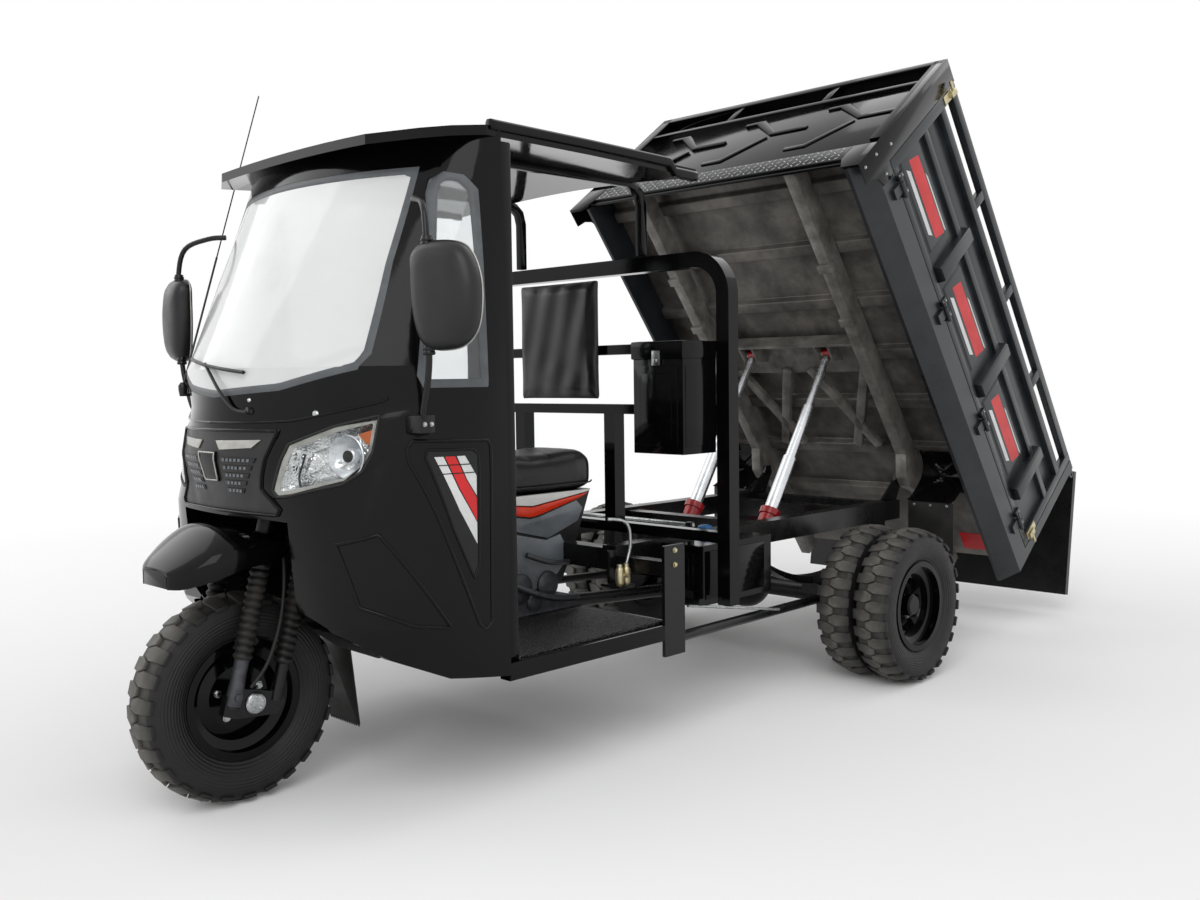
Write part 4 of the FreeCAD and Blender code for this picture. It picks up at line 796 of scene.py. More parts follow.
# cab: glazing rubbers, beads of the side pressings, stripes on their field and bonnet nozzles
glazing = {
    "screen": [(-0.452, 1.704), (0.452, 1.704), (0.472, 1.215), (0.452, 1.176), (0.24, 1.125), (0.0, 1.108),
        (-0.24, 1.125), (-0.452, 1.176), (-0.472, 1.215)],
    "window": [(-1.4185, 1.128), (-1.4185, 1.64), (-1.4465, 1.678), (-1.4815, 1.688), (-1.5145, 1.664),
        (-1.6045, 1.16), (-1.5925, 1.128)],
    "screenCentre": (0, 1.42), "windowCentre": (-1.49, 1.4), "screenWide": 0.021, "windowWide": 0.022,
    "overlap": -0.003, "depths": [-0.001, 0.003, 0.004, 0.003, -0.001]}
screenSkin, windowSkin = ("windshield", "windshield_frame", "cab_nose"), ("quarter_windows", "cab_side_left")
cabSide = ("cab_side_left", "cab_nose")
cab = {
    "pressing": [(-1.6265, 0.995), (-1.4285, 0.99), (-1.4185, 0.975), (-1.4165, 0.91), (-1.4205, 0.509),
        (-1.4405, 0.491), (-1.4605, 0.509), (-1.6385, 0.94), (-1.6405, 0.975)],
    "field": [(-1.5965, 0.971), (-1.4745, 0.968), (-1.4585, 0.955), (-1.4565, 0.913), (-1.4605, 0.665),
        (-1.4765, 0.633), (-1.5385, 0.769), (-1.6025, 0.951)],
    "belowLamp": [(-1.7805, 0.738), (-1.7135, 0.764), (-1.6095, 0.608), (-1.5455, 0.512), (-1.6405, 0.527),
        (-1.7485, 0.58)],
    "seam": [(0.0, 1.042), (0.12, 1.042), (0.255, 1.046), (0.3, 1.051), (0.389, 1.07), (0.488, 1.095),
        (0.53, 1.105)],
    "stripes": [
        ("silverStripeFront", "paleVinylFilm",
            [(-1.583, 0.953), (-1.56, 0.953), (-1.52, 0.867), (-1.466, 0.778), (-1.466, 0.722), (-1.518, 0.812)]),
        ("redStripe", "redVinylFilm",
            [(-1.556, 0.953), (-1.528, 0.953), (-1.499, 0.893), (-1.466, 0.842), (-1.466, 0.782), (-1.517, 0.869)]),
        ("silverStripeRear", "paleVinylFilm",
            [(-1.523, 0.953), (-1.5, 0.953), (-1.466, 0.9), (-1.466, 0.848), (-1.495, 0.892)])],
    "lines": [("stripeLine931", 0.931), ("stripeLine909", 0.909)], "lineY": (-1.575, -1.466), "lineHalf": 0.0012}
nozzle = {
    "large": [(0, 0.011), (0.006, 0.011), (0.01, 0.008), (0.012, 0.003)], "largeAt": (0.335, -1.766, 1.064),
    "largeAim": (0.3, -0.95, 0.2), "small": [(0, 0.007), (0.006, 0.007), (0.01, 0.004)],
    "smallAt": (0.146, -1.845, 1.098), "smallAim": (0, -0.8, 0.6)}
outer, inner = [insetOutline(glazing["screen"], glazing[by]) for by in ("overlap", "screenWide")]
shape = addBand(newShape(), screenSkin, outer, inner, glazing["screenCentre"], frontView, glazing["depths"], 200)
newPiece("screenRubber", "chassis", "greyGlazingRubber", shape, thick=0.003, crease=70)
outer, inner = [insetOutline(glazing["window"], glazing[by]) for by in ("overlap", "windowWide")]
shape = addBand(newShape(), windowSkin, outer, inner, glazing["windowCentre"], leftView, glazing["depths"], 160)
newPair("windowRubber", "greyGlazingRubber", shape, thick=0.003, crease=70)
beads = newShape()
for outline, radius in ((cab["pressing"], 0.0048), (cab["field"], 0.0042), (cab["belowLamp"], 0.0052)):
    addBead(beads, cabSide, outline, leftView, -0.0004, radius, 0.012)
seam = [landOn(noseSkin, fromFront(u, w), frontView[1], 0.0004) for u, w in cab["seam"]]
newPair("cabBeads", "stovedBlackEnamel", addTube(beads, smoothPath(seam, 4), 0.0036, 8), crease=70)
for name, finish, outline in cab["stripes"]:
    newPair(name, finish, sheetOn(cabSide, outline, leftView, 0.0012), thick=0.0008)
shape = sheetOn(cabSide, insetOutline(cab["field"], 0.002), leftView, 0.0005)
newPair("stripeField", "blackPowderCoat", shape, thick=0.0003)
y0, y1 = cab["lineY"]
for name, z in cab["lines"]:
    low, high = z - cab["lineHalf"], z + cab["lineHalf"]
    shape = sheetOn(cabSide, [(y0, low), (y1, low), (y1, high), (y0, high)], leftView, 0.0022)
    newPair(name, "blackPowderCoat", shape, thick=0.0006)
shape = addTurned(newShape(), nozzle["large"], nozzle["largeAt"], nozzle["largeAim"], 20)
addTurned(shape, nozzle["small"], nozzle["smallAt"], nozzle["smallAim"], 16)
newPiece("bonnetNozzles", "chassis", "zincPlatedSteel", shape)

# mirrors: domed heads on bowed stems with two clamps, turned a little outwards; layers are (share of the outline, y)
mirror = {
    "centre": (0.7, -1.6325, 1.35), "turn": math.radians(12),
    "outline": [(-0.098, 0.06), (-0.095, 0.108), (-0.058, 0.131), (0.02, 0.131), (0.068, 0.108), (0.097, 0.048),
        (0.101, -0.02), (0.088, -0.082), (0.05, -0.12), (-0.008, -0.131), (-0.056, -0.124), (-0.082, -0.084),
        (-0.096, -0.014)],
    "head": [(0.9, 0.0225), (0.955, 0.024), (0.99, 0.018), (1.0, 0.006), (0.99, -0.008), (0.93, -0.02),
        (0.82, -0.029), (0.6, -0.035), (0.3, -0.038)],
    "glass": [(0.89, 0.0228), (0.885, 0.0236), (0.6, 0.0236), (0.1, 0.0236)],
    "stem": [(0.585, -1.6085, 1.036), (0.606, -1.6345, 1.062), (0.64, -1.6425, 1.15), (0.652, -1.6465, 1.225),
        (0.652, -1.6485, 1.36), (0.652, -1.6485, 1.492), (0.625, -1.6365, 1.575), (0.54, -1.6, 1.602),
        (0.5, -1.56, 1.606)],
    "clamp": [(0, 0.013), (0.003, 0.0155), (0.008, 0.0155), (0.01, 0.0135), (0.013, 0.0155), (0.018, 0.0155),
        (0.02, 0.0135), (0.026, 0.013)],
    "clamps": [(0.652, -1.6468, 1.208), (0.652, -1.6468, 1.47)],
    "foot": ((0.545, -1.6445, 1.016), (0.607, -1.5985, 1.06)),
    "bolts": [(0.6075, -1.632, 1.038), (0.6075, -1.611, 1.038)]}
closed = mirror["outline"] + mirror["outline"][:3]
loop = smoothPath([(x, 0, z) for x, z in closed], 5)[5:5 + 5 * len(mirror["outline"])]
turnCos, turnSin = math.cos(mirror["turn"]), math.sin(mirror["turn"])


def mirrorRings(layers):
    rings = []
    for share, dy in layers:
        flat = [(p.x * share, p.z * share) for p in loop]
        turned = [Vector((x * turnCos - dy * turnSin, x * turnSin + dy * turnCos, z)) for x, z in flat]
        rings.append([Vector(mirror["centre"]) + p for p in turned])
    return rings


rings = mirrorRings(mirror["head"])
stems = addTube(newShape(), smoothPath(mirror["stem"], 5), 0.008, 14)
for at in mirror["clamps"]:
    addTurned(stems, mirror["clamp"], at, (0, 0, 1), 20)
newPair("mirrorHead", "grainedAbs", addRings(newShape(), rings), crease=50, replaces="mirrors")
newPair("mirrorGlass", "hardChromedSteel", addRings(newShape(), mirrorRings(mirror["glass"])), crease=50)
newPair("mirrorRim", "satinSilverTrim", addTube(newShape(), rings[2] + rings[2][:1], 0.0022, 8), crease=50)
newPair("mirrorStem", "blackPowderCoat", addBlocks(stems, [mirror["foot"]]), crease=50, bevel=0.0015)
newPair("mirrorBolts", "zincPlatedSteel", addBolts(newShape(), mirror["bolts"], (1, 0, 0), 0.006), crease=50)

# aerial with a braided lower part, and the screen wiper with its arm, blade and rubber
aerial = {
    "foot": Vector((-0.42, -1.7585, 1.135)), "tip": Vector((-0.66, -1.3405, 2.111)), "braided": 0.42, "sink": 0.026,
    "base": [(0, 0.01), (0.02, 0.013), (0.032, 0.013), (0.042, 0.006)],
    "bracket": ((-0.438, -1.7585, 1.109), (-0.402, -1.66, 1.117))}
foot, tip = aerial["foot"], aerial["tip"]
shape = addTube(newShape(), [foot, foot.lerp(tip, 0.5), tip], 0.0022, 8)
addTube(shape, [foot + (tip - foot) * (k / 60 * aerial["braided"]) for k in range(61)], 0.0034, 8)
addTurned(shape, aerial["base"], foot - Vector((0, 0, aerial["sink"])), (0, 0, 1), 18)
newPiece("whipAerial", "chassis", "grainedAbs", addBlocks(shape, [aerial["bracket"]]), crease=50)
wiper = {
    "arm": [(0.152, -1.8625, 1.07), (0.1, -1.8725, 1.08), (0.041, -1.8805, 1.128), (-0.06, -1.866, 1.2)],
    "blade": (-0.231, 0.366, 1.216, -0.042), "rubber": (-0.225, 0.354, 1.214, -0.04), "yoke": (0, -0.012, 0.004),
    "pivot": [(0, 0.013), (0.018, 0.013), (0.026, 0.009), (0.034, 0.009)], "pivotAt": (0.15, -1.83, 1.066),
    "pivotAim": (0.05, -0.95, 0.25)}


def alongScreen(line, lift):
    x, length, z, rise = line
    places = [fromFront(x + length * k / 12, z + rise * k / 12) for k in range(13)]
    return [landOn(screenSkin, place, frontView[1], lift) for place in places]


blade = alongScreen(wiper["blade"], 0.014)
shape = addTube(newShape(), smoothPath(wiper["arm"], 6), 0.0045, 8)
addTube(shape, blade, 0.0055, 6)
addTube(shape, alongScreen(wiper["rubber"], 0.006), 0.003, 6)
addTube(shape, [blade[3], blade[6] + Vector(wiper["yoke"]), blade[9]], 0.0035, 6)
addTurned(shape, wiper["pivot"], wiper["pivotAt"], wiper["pivotAim"], 18)
newPiece("screenWiper", "chassis", "grainedAbs", shape, crease=50)

# curved guard behind the front wheel, on a bracket from the wheel arch, and its rubber flap with a toothed edge
guard = {
    "radius": 0.347, "half": 0.078, "low": 24, "high": 47, "sheet": 0.004,
    "bracket": ((-0.04, -1.545, 0.392), (0.04, -1.5065, 0.42))}
flap = {
    "teeth": 13, "top": 0.43, "root": 0.145, "point": 0.134, "drop": 0.29, "topY": -1.523, "lowY": -1.4905,
    "sheet": 0.004}
half, rings = guard["half"], []
for k in range(9):
    angle = math.radians(guard["high"] + (guard["low"] - guard["high"]) * k / 8)
    reach = guard["radius"]
    centre = Vector((0, frontAxle[0] + reach * math.cos(angle), frontAxle[1] + reach * math.sin(angle)))
    inward = Vector((0, -math.cos(angle), -math.sin(angle))) * guard["sheet"]
    left, right = centre + Vector((half, 0, 0)), centre - Vector((half, 0, 0))
    rings.append([left, right, right + inward, left + inward])
shape = addBlocks(addRings(newShape(), rings), [guard["bracket"]])
newPiece("frontGuardSheet", "chassis", "stovedBlackEnamel", shape, bevel=0.0008)
outline = [(half, flap["top"]), (-half, flap["top"])]
for k in range(flap["teeth"]):
    for part, z in ((k, flap["root"]), (k + 0.5, flap["point"])):
        outline.append((-half + 2 * half * part / flap["teeth"], z))
outline.append((half, flap["root"]))
lean = flap["lowY"] - flap["topY"]
points = [Vector((x, flap["topY"] + (flap["top"] - z) / flap["drop"] * lean, z)) for x, z in outline]
newPiece("frontFlap", "chassis", "sheetRubber", addPrism(newShape(), points, (0, -flap["sheet"], 0)), bevel=0.0006)
print("cab dressed")


# seat: padded saddle and back cover, each blown up a little as a cloth and then finished
def softPad(name, shape, cap, voxel, replaced):
    piece = newPiece(name, "chassis", "grainedVinyl", shape, crease=180)
    bpy.context.view_layer.objects.active = piece
    piece.select_set(True)
    mesher = piece.modifiers.new("mesher", "REMESH")
    mesher.mode = "VOXEL"
    mesher.voxel_size = voxel
    mesher.use_smooth_shade = True
    bpy.ops.object.modifier_apply(modifier="mesher")
    start = [v.co.copy() for v in piece.data.vertices]
    cloth = piece.modifiers.new("cloth", "CLOTH")
    cloth.settings.use_pressure = True
    cloth.settings.uniform_pressure_force = 4.0
    cloth.settings.effector_weights.gravity = 0
    cloth.settings.quality = 5
    for step in range(1, 21):
        scene.frame_set(step)
    blown = piece.evaluated_get(bpy.context.evaluated_depsgraph_get()).data
    ends = [v.co.copy() for v in blown.vertices]
    piece.modifiers.remove(cloth)
    for v, a, b in zip(piece.data.vertices, start, ends):
        move = b - a
        v.co = a + move * min(1.0, cap / move.length if move.length > cap else 1.0)
    scene.frame_set(1)
    smoother = piece.modifiers.new("smoother", "SUBSURF")
    smoother.levels = smoother.render_levels = 1
    bpy.ops.object.modifier_apply(modifier="smoother")
    piece.select_set(False)
    for face in piece.data.polygons:
        face.use_smooth = True
    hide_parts(replaced)


# rows of (place along the saddle, half width, underside, top)
saddle = {
    "rows": [(-1.0245, 0.09, 0.79, 0.85), (-1.015, 0.128, 0.778, 0.885), (-0.985, 0.15, 0.7745, 0.9),
        (-0.93, 0.158, 0.7745, 0.9), (-0.85, 0.16, 0.7745, 0.893), (-0.76, 0.16, 0.7745, 0.895),
        (-0.66, 0.16, 0.7745, 0.903), (-0.61, 0.155, 0.7745, 0.904), (-0.582, 0.14, 0.778, 0.893),
        (-0.57, 0.105, 0.79, 0.865)],
    "pipingOut": 0.003, "pipingUp": 0.022, "piping": 0.0028, "swell": 0.005}
rings = []
for y, half, low, high in saddle["rows"]:
    middle, lift = (low + high) / 2, (high - low) / 2
    ring = []
    for angle in circleAngles(32):
        c, s = math.cos(angle), math.sin(angle)
        x = half * math.copysign(abs(c) ** 0.42, c)
        ring.append(Vector((x, y, middle + lift * math.copysign(abs(s) ** (0.5 if s > 0 else 0.3), s))))
    rings.append(ring)
softPad("saddleCushion", addRings(newShape(), rings), saddle["swell"], 0.007, "seat_cushion")
shape = newShape()
for side in (1, -1):
    rows = saddle["rows"][1:-1]
    line = [(side * (half + saddle["pipingOut"]), y, low + saddle["pipingUp"]) for y, half, low, high in rows]
    addTube(shape, smoothPath(line, 4), saddle["piping"], 8)
newPiece("saddlePiping", "chassis", "grainedVinyl", shape, crease=60)

# back cover: a stretched cloth with drifting folds, pulled in along its four edges
back = {
    "x": (-0.302, 0.097), "z": (1.073, 1.492), "y": (-0.5085, -0.4725), "columns": 44, "rows": 46, "pull": 0.0145,
    "swell": 0.004}
columns, rows = back["columns"], back["rows"]
front, rear = [], []
for j in range(rows + 1):
    z = back["z"][0] + (back["z"][1] - back["z"][0]) * j / rows
    for i in range(columns + 1):
        x = back["x"][0] + (back["x"][1] - back["x"][0]) * i / columns
        full = min(1.0, min(i, columns - i, j, rows - j) / 4) ** 0.5
        fold = 0.0035 * math.sin(21 * x + 9 * z + 2.2 * math.sin(11 * z)) * math.sin(7 * z + 3)
        fold += 0.002 * math.sin(63 * x - 17 * z)
        front.append(Vector((x, back["y"][0] + back["pull"] * (1 - full) + fold * full, z)))
        rear.append(Vector((x, back["y"][1] - back["pull"] * (1 - full), z)))
wide, shift, faces = columns + 1, len(front), []
for j in range(rows):
    for i in range(columns):
        a, b = j * wide + i, shift + j * wide + i
        faces += [(a, a + 1, a + wide + 1, a + wide), (b, b + wide, b + wide + 1, b + 1)]
ring = list(range(wide)) + [j * wide + columns for j in range(1, rows + 1)]
ring += [rows * wide + i for i in range(columns - 1, -1, -1)] + [j * wide for j in range(rows - 1, 0, -1)]
faces += [(a, b, shift + b, shift + a) for a, b in zip(ring, ring[1:] + ring[:1])]
softPad("backCover", addFaces(newShape(), front + rear, faces), back["swell"], 0.006, "backrest")
print("seat made")

# side trim of the saddle: white and orange swoosh over grey panels, as (finish, how far it stands out, outline)
trimSide = 0.1395
trim = {
    "swooshWhite": ("whiteMouldedAbs", 0.011, [(-1.045, 0.7715), (-0.9, 0.7715), (-0.59, 0.7715), (-0.605, 0.764),
        (-0.86, 0.735), (-1.0, 0.75), (-1.05, 0.757)]),
    "swooshOrange": ("orangeMouldedAbs", 0.0125, [(-1.052, 0.752), (-1.0, 0.747), (-0.86, 0.731), (-0.606, 0.7615),
        (-0.64, 0.747), (-0.83, 0.704), (-0.869, 0.699), (-0.95, 0.712), (-1.055, 0.73)]),
    "sidePanelUpper": ("greyMouldedAbs", 0.009, [(-1.058, 0.724), (-0.95, 0.706), (-0.869, 0.693), (-0.825, 0.699),
        (-0.66, 0.738), (-0.63, 0.71), (-0.655, 0.668), (-0.791, 0.623), (-0.95, 0.662), (-1.068, 0.68)]),
    "sidePanelLower": ("greyMouldedAbs", 0.007, [(-1.068, 0.672), (-0.948, 0.652), (-0.8, 0.617), (-0.735, 0.63),
        (-0.69, 0.56), (-0.75, 0.5), (-0.86, 0.455), (-0.93, 0.5), (-0.96, 0.58), (-1.07, 0.62)])}
for name, (finish, proud, outline) in trim.items():
    shape = addPrism(newShape(), [(trimSide, y, z) for y, z in outline], (proud, 0, 0))
    newPair(name, finish, shape, bevel=0.002)

# engine covers and hoses beside them
engine = {
    "x": 0.142, "covers": [(-0.92, 0.47, 0.05), (-0.86, 0.42, 0.035), (-0.8, 0.47, 0.045)],
    "hoses": [(0.011, [(0.17, -0.98, 0.5), (0.19, -0.9, 0.46), (0.2, -0.8, 0.43), (0.19, -0.7, 0.42)]),
        (0.009, [(0.16, -0.9, 0.58), (0.18, -0.82, 0.55), (0.17, -0.72, 0.54), (0.15, -0.66, 0.56)])]}
shape = newShape()
for y, z, r in engine["covers"]:
    addTurned(shape, [(0, r), (0.012, r), (0.018, r * 0.8), (0.02, r * 0.3)], (engine["x"], y, z), (1, 0, 0), 28)
for radius, path in engine["hoses"]:
    addTube(shape, smoothPath(path, 5), radius, 12)
newPair("engineCovers", "sandCastAlloy", shape, bevel=0.001)

# running boards with coiled mats
board = {"outline": [(0.215, -1.34), (0.572, -1.34), (0.572, -0.7), (0.215, -0.7)], "proud": 0.007, "thick": 0.006}
mat = sheetOn(("floor_pan",), board["outline"], topView, board["proud"])
newPair("boardMat", "coiledVinylMat", mat, thick=board["thick"])

# toolbox on the portal with its overhanging lid, pressed door and hasp, and the pressed doors of the side boxes
toolbox = {
    "body": [((0.39, -0.6315, 0.905), (0.598, -0.4683, 1.212)), ((0.41, -0.6365, 0.93), (0.578, -0.63, 1.185)),
        ((0.432, -0.6385, 0.955), (0.556, -0.634, 1.16)), ((0.597, -0.62, 0.93), (0.6005, -0.48, 1.185))],
    "lid": [((0.384, -0.6385, 1.205), (0.602, -0.4683, 1.262))],
    "hasp": [((0.478, -0.6425, 1.185), (0.51, -0.636, 1.232))],
    "rivet": [(0, 0.008), (0.004, 0.008), (0.005, 0.004)], "rivetAt": (0.494, -0.642, 1.2)}
sideBox = {
    "doors": [((0.412, -0.507, 0.425), (0.53, -0.502, 0.575)), ((0.43, -0.51, 0.44), (0.512, -0.506, 0.56)),
        ((0.549, -0.47, 0.42), (0.5535, -0.15, 0.578))]}
newPiece("toolboxBody", "chassis", "stovedBlackEnamel", addBlocks(newShape(), toolbox["body"]), bevel=0.0025)
shape = addBlocks(newShape(), toolbox["lid"])
newPiece("toolboxLid", "chassis", "stovedBlackEnamel", shape, bevel=0.005, replaces="toolbox")
shape = addTurned(addBlocks(newShape(), toolbox["hasp"]), toolbox["rivet"], toolbox["rivetAt"], (0, -1, 0), 16)
newPiece("toolboxHasp", "chassis", "zincPlatedSteel", shape, bevel=0.0015)
newPair("boxDoors", "stovedBlackEnamel", addBlocks(newShape(), sideBox["doors"]), bevel=0.002)

# bright pipes across the rails in their clips, and the tank's filler cap
pipes = {
    "places": [(-0.313, 0.636), (-0.352, 0.6265), (-0.4, 0.6185)], "reach": 0.372, "radius": 0.0065,
    "clips": (-0.355, 0.355), "seat": 0.6095, "clip": (0.012, 0.011, 0.009)}
shape, clips = newShape(), []
for y, z in pipes["places"]:
    addTube(shape, [(-pipes["reach"], y, z), (0.0, y + 0.002, z), (pipes["reach"], y, z)], pipes["radius"], 12)
newPiece("crossPipes", "chassis", "zincPlatedSteel", shape, crease=60)
wideClip, deepClip, overClip = pipes["clip"]
for x in pipes["clips"]:
    for y, z in pipes["places"]:
        clips.append(((x - wideClip, y - deepClip, pipes["seat"]), (x + wideClip, y + deepClip, z + overClip)))
newPiece("pipeClips", "chassis", "blackPowderCoat", addBlocks(newShape(), clips), bevel=0.001)
filler = {
    "profile": [(0, 0.026), (0.012, 0.026), (0.015, 0.023), (0.018, 0.014), (0.0185, 0.0)],
    "at": (0.36, -0.235, 0.61)}
shape = addTurned(newShape(), filler["profile"], filler["at"], (0, 0, 1), 12)
newPiece("fillerCap", "chassis", "blueMouldedNylon", shape, bevel=0.0012)

# relief valve on its bracket, hand lever and pull rod, bracket bolts and radius arms
valve = {
    "bracket": [((0.385, -0.79, 0.49), (0.47, -0.72, 0.498)), ((0.385, -0.76, 0.49), (0.393, -0.72, 0.6))],
    "body": [(0, 0.011), (0.012, 0.0135), (0.05, 0.0135), (0.056, 0.009), (0.066, 0.009), (0.068, 0.005)],
    "bodies": [(0.452, -0.772, 0.4975), (0.452, -0.742, 0.4975)], "plug": [(0, 0.007), (0.03, 0.007)],
    "plugAt": (0.452, -0.765, 0.53), "plugAim": (0.9, 0.2, 0)}
lever = {
    "handle": [(0.452, -0.742, 0.56), (0.452, -0.722, 0.62), (0.452, -0.728, 0.675), (0.445, -0.75, 0.7),
        (0.42, -0.79, 0.706)],
    "rod": [(0.545, -0.553, 0.412), (0.55, -0.3, 0.368), (0.55, -0.06, 0.326)]}
arm = {
    "front": (0.575, -0.66, 0.33), "rear": (0.47, 0.43, 0.3), "radius": 0.017, "bolts": (0.613, 0.568),
    "boltAt": (0.6, -0.681)}
newPiece("valveBracket", "chassis", "blackPowderCoat", addBlocks(newShape(), valve["bracket"]), bevel=0.001)
shape = newShape()
for at in valve["bodies"]:
    addTurned(shape, valve["body"], at, (0, 0, 1), 20)
addTurned(shape, valve["plug"], valve["plugAt"], valve["plugAim"], 6)
newPiece("reliefValve", "chassis", "yellowPassivatedSteel", shape, bevel=0.0008)
shape = addTube(newShape(), smoothPath(lever["handle"], 6), 0.0055, 12)
addTube(shape, smoothPath(lever["rod"], 4), 0.0045, 10)
newPiece("handLever", "chassis", "zincPlatedSteel", shape, crease=60)
bolts, arms = newShape(), newShape()
for z in arm["bolts"]:
    for side in (1, -1):
        addBolts(bolts, [(side * arm["boltAt"][0], arm["boltAt"][1], z)], (side, 0, 0), 0.0085)
newPiece("bracketBolts", "chassis", "yellowPassivatedSteel", bolts, bevel=0.0006)
for side in (-1, 1):
    addTube(arms, [(side * x, y, z) for x, y, z in (arm["front"], arm["rear"])], arm["radius"], 14)
newPiece("radiusArms", "chassis", "blackPowderCoat", arms, crease=60)
print("mid part made")

# cab posts, crossbar and roof rails, kept under the roof sheet
posts = {
    "x": 0.565, "half": 0.02, "y": (-1.3555, -1.3135), "z": (0.352, 1.77), "railX": 0.286, "railWide": 0.028,
    "rail": [(-1.34, 1.803), (-0.56, 1.803), (-0.518, 1.79), (-0.487, 1.765), (-0.474, 1.72), (-0.474, 1.5533),
        (-0.502, 1.5533), (-0.502, 1.715), (-0.511, 1.748), (-0.531, 1.766), (-0.562, 1.775), (-1.34, 1.775)],
    "bars": [((-0.582, -1.3555, 1.733), (0.582, -1.3135, 1.773)), ((-0.545, -1.318, 1.765), (0.545, -1.312, 1.79))]}
shape = newShape()
(y0, y1), (z0, z1) = posts["y"], posts["z"]
for side in (-1, 1):
    x = side * posts["x"]
    addBlocks(shape, [((x - posts["half"], y0, z0), (x + posts["half"], y1, z1))])
    addPrism(shape, [(side * posts["railX"], y, z) for y, z in posts["rail"]], (side * posts["railWide"], 0, 0))
addBlocks(shape, posts["bars"])
newPiece("cabPosts", "chassis", "stovedBlackEnamel", shape, bevel=0.0025, replaces="cab_frame")

# moulding along both edges of the roof
gutter = {
    "x": 0.584, "inset": 0.012,
    "section": [(-0.012, -0.012), (0.008, -0.012), (0.0145, -0.007), (0.0145, 0.011), (0.01, 0.0165),
        (-0.006, 0.0175), (-0.012, 0.01)]}
edge = [v.co.y for v in nodes["cab_roof"].data.vertices if v.co.x > 0.57]
first, last = min(edge) + gutter["inset"], max(edge) - gutter["inset"]
seats = [landOn(("cab_roof",), (gutter["x"], first + (last - first) * k / 40, 2.3), (0, 0, -1)) for k in range(41)]
section = [Vector((across, 0, lift)) for across, lift in gutter["section"]]
shape = addRings(newShape(), [[seat + corner for corner in section] for seat in seats])
newPair("roofGutter", "stovedBlackEnamel", shape, bevel=0.0012)

# bed floor: pressed sheet with seven cross ribs, on two rails with their pivot feet and weld seams
bed = {
    "front": -1.481, "rear": 0.587, "sheet": (0.144, 0.15), "half": 0.64, "ribHalf": 0.636,
    "ribs": [-1.36 + 0.26 * k for k in range(7)],
    "rib": [(-0.034, 0.1445), (-0.03, 0.141), (-0.025, 0.118), (-0.021, 0.1145), (0.021, 0.1145), (0.025, 0.118),
        (0.03, 0.141), (0.034, 0.1445)]}
rail = {
    "x": 0.385, "half": 0.025, "depth": (0.03, 0.1135), "seats": (-1.062, -0.806), "seatHalf": 0.032,
    "seatLong": 0.018, "seatDepth": (0.018, 0.05), "weld": 0.0024, "weldOut": 0.026, "weldLong": 0.02,
    "weldAt": 0.1128,
    "foot": [(-0.11, 0.031), (-0.04, -0.018), (-0.024, -0.028), (0.024, -0.028), (0.04, -0.018), (0.11, 0.031)]}
brace = {
    "from": -0.525, "to": -0.1, "depth": 0.1, "half": 0.02, "sheet": 0.013, "ends": [(0.06, 0.25), (0.33, 0.14)]}
shape = addBedBar(newShape(), 0, bed["half"], bed["front"], bed["rear"], *bed["sheet"])
for place in bed["ribs"]:
    addPrism(shape, [onBed(-bed["ribHalf"], place + r, n) for r, n in bed["rib"]], (2 * bed["ribHalf"], 0, 0))
newPiece("bedFloorSheet", "bed", "greyPrimedSheet", shape, bevel=0.001, replaces="bed_floor")
shape, seams, braces = newShape(), newShape(), newShape()
for side in (-1, 1):
    x = side * rail["x"]
    addBedBar(shape, x, rail["half"], bed["front"], bed["rear"], *rail["depth"])
    addPrism(shape, [onBed(x - rail["half"], r, n) for r, n in rail["foot"]], (2 * rail["half"], 0, 0))
    for r in rail["seats"]:
        addBedBar(shape, x, rail["seatHalf"], r - rail["seatLong"], r + rail["seatLong"], *rail["seatDepth"])
    for place in bed["ribs"]:
        for out in (-rail["weldOut"], rail["weldOut"]):
            start = onBed(x + out, place - rail["weldLong"], rail["weldAt"])
            end = onBed(x + out, place + rail["weldLong"], rail["weldAt"])
            addTube(seams, [start.lerp(end, j / 5) for j in range(6)], rail["weld"], 6)
    for x0, x1 in brace["ends"]:
        low, high = onBed(side * x0, brace["from"], brace["depth"]), onBed(side * x1, brace["to"], brace["depth"])
        normal = bedStep(0, 1).normalized()
        across = (high - low).normalized().cross(normal) * brace["half"]
        deep = normal * brace["sheet"]
        outline = [low - across - deep, low + across - deep, low + across + deep, low - across + deep]
        addPrism(braces, outline, high - low)
newPiece("bedRailBars", "bed", "greyPrimerPaintedHighlight", shape, bevel=0.003, replaces="bed_rails")
newPiece("railWelds", "bed", "sandCastAlloy", seams, crease=70)
newPiece("beamBraces", "bed", "greyPrimerPaintedHighlight", braces, bevel=0.002)

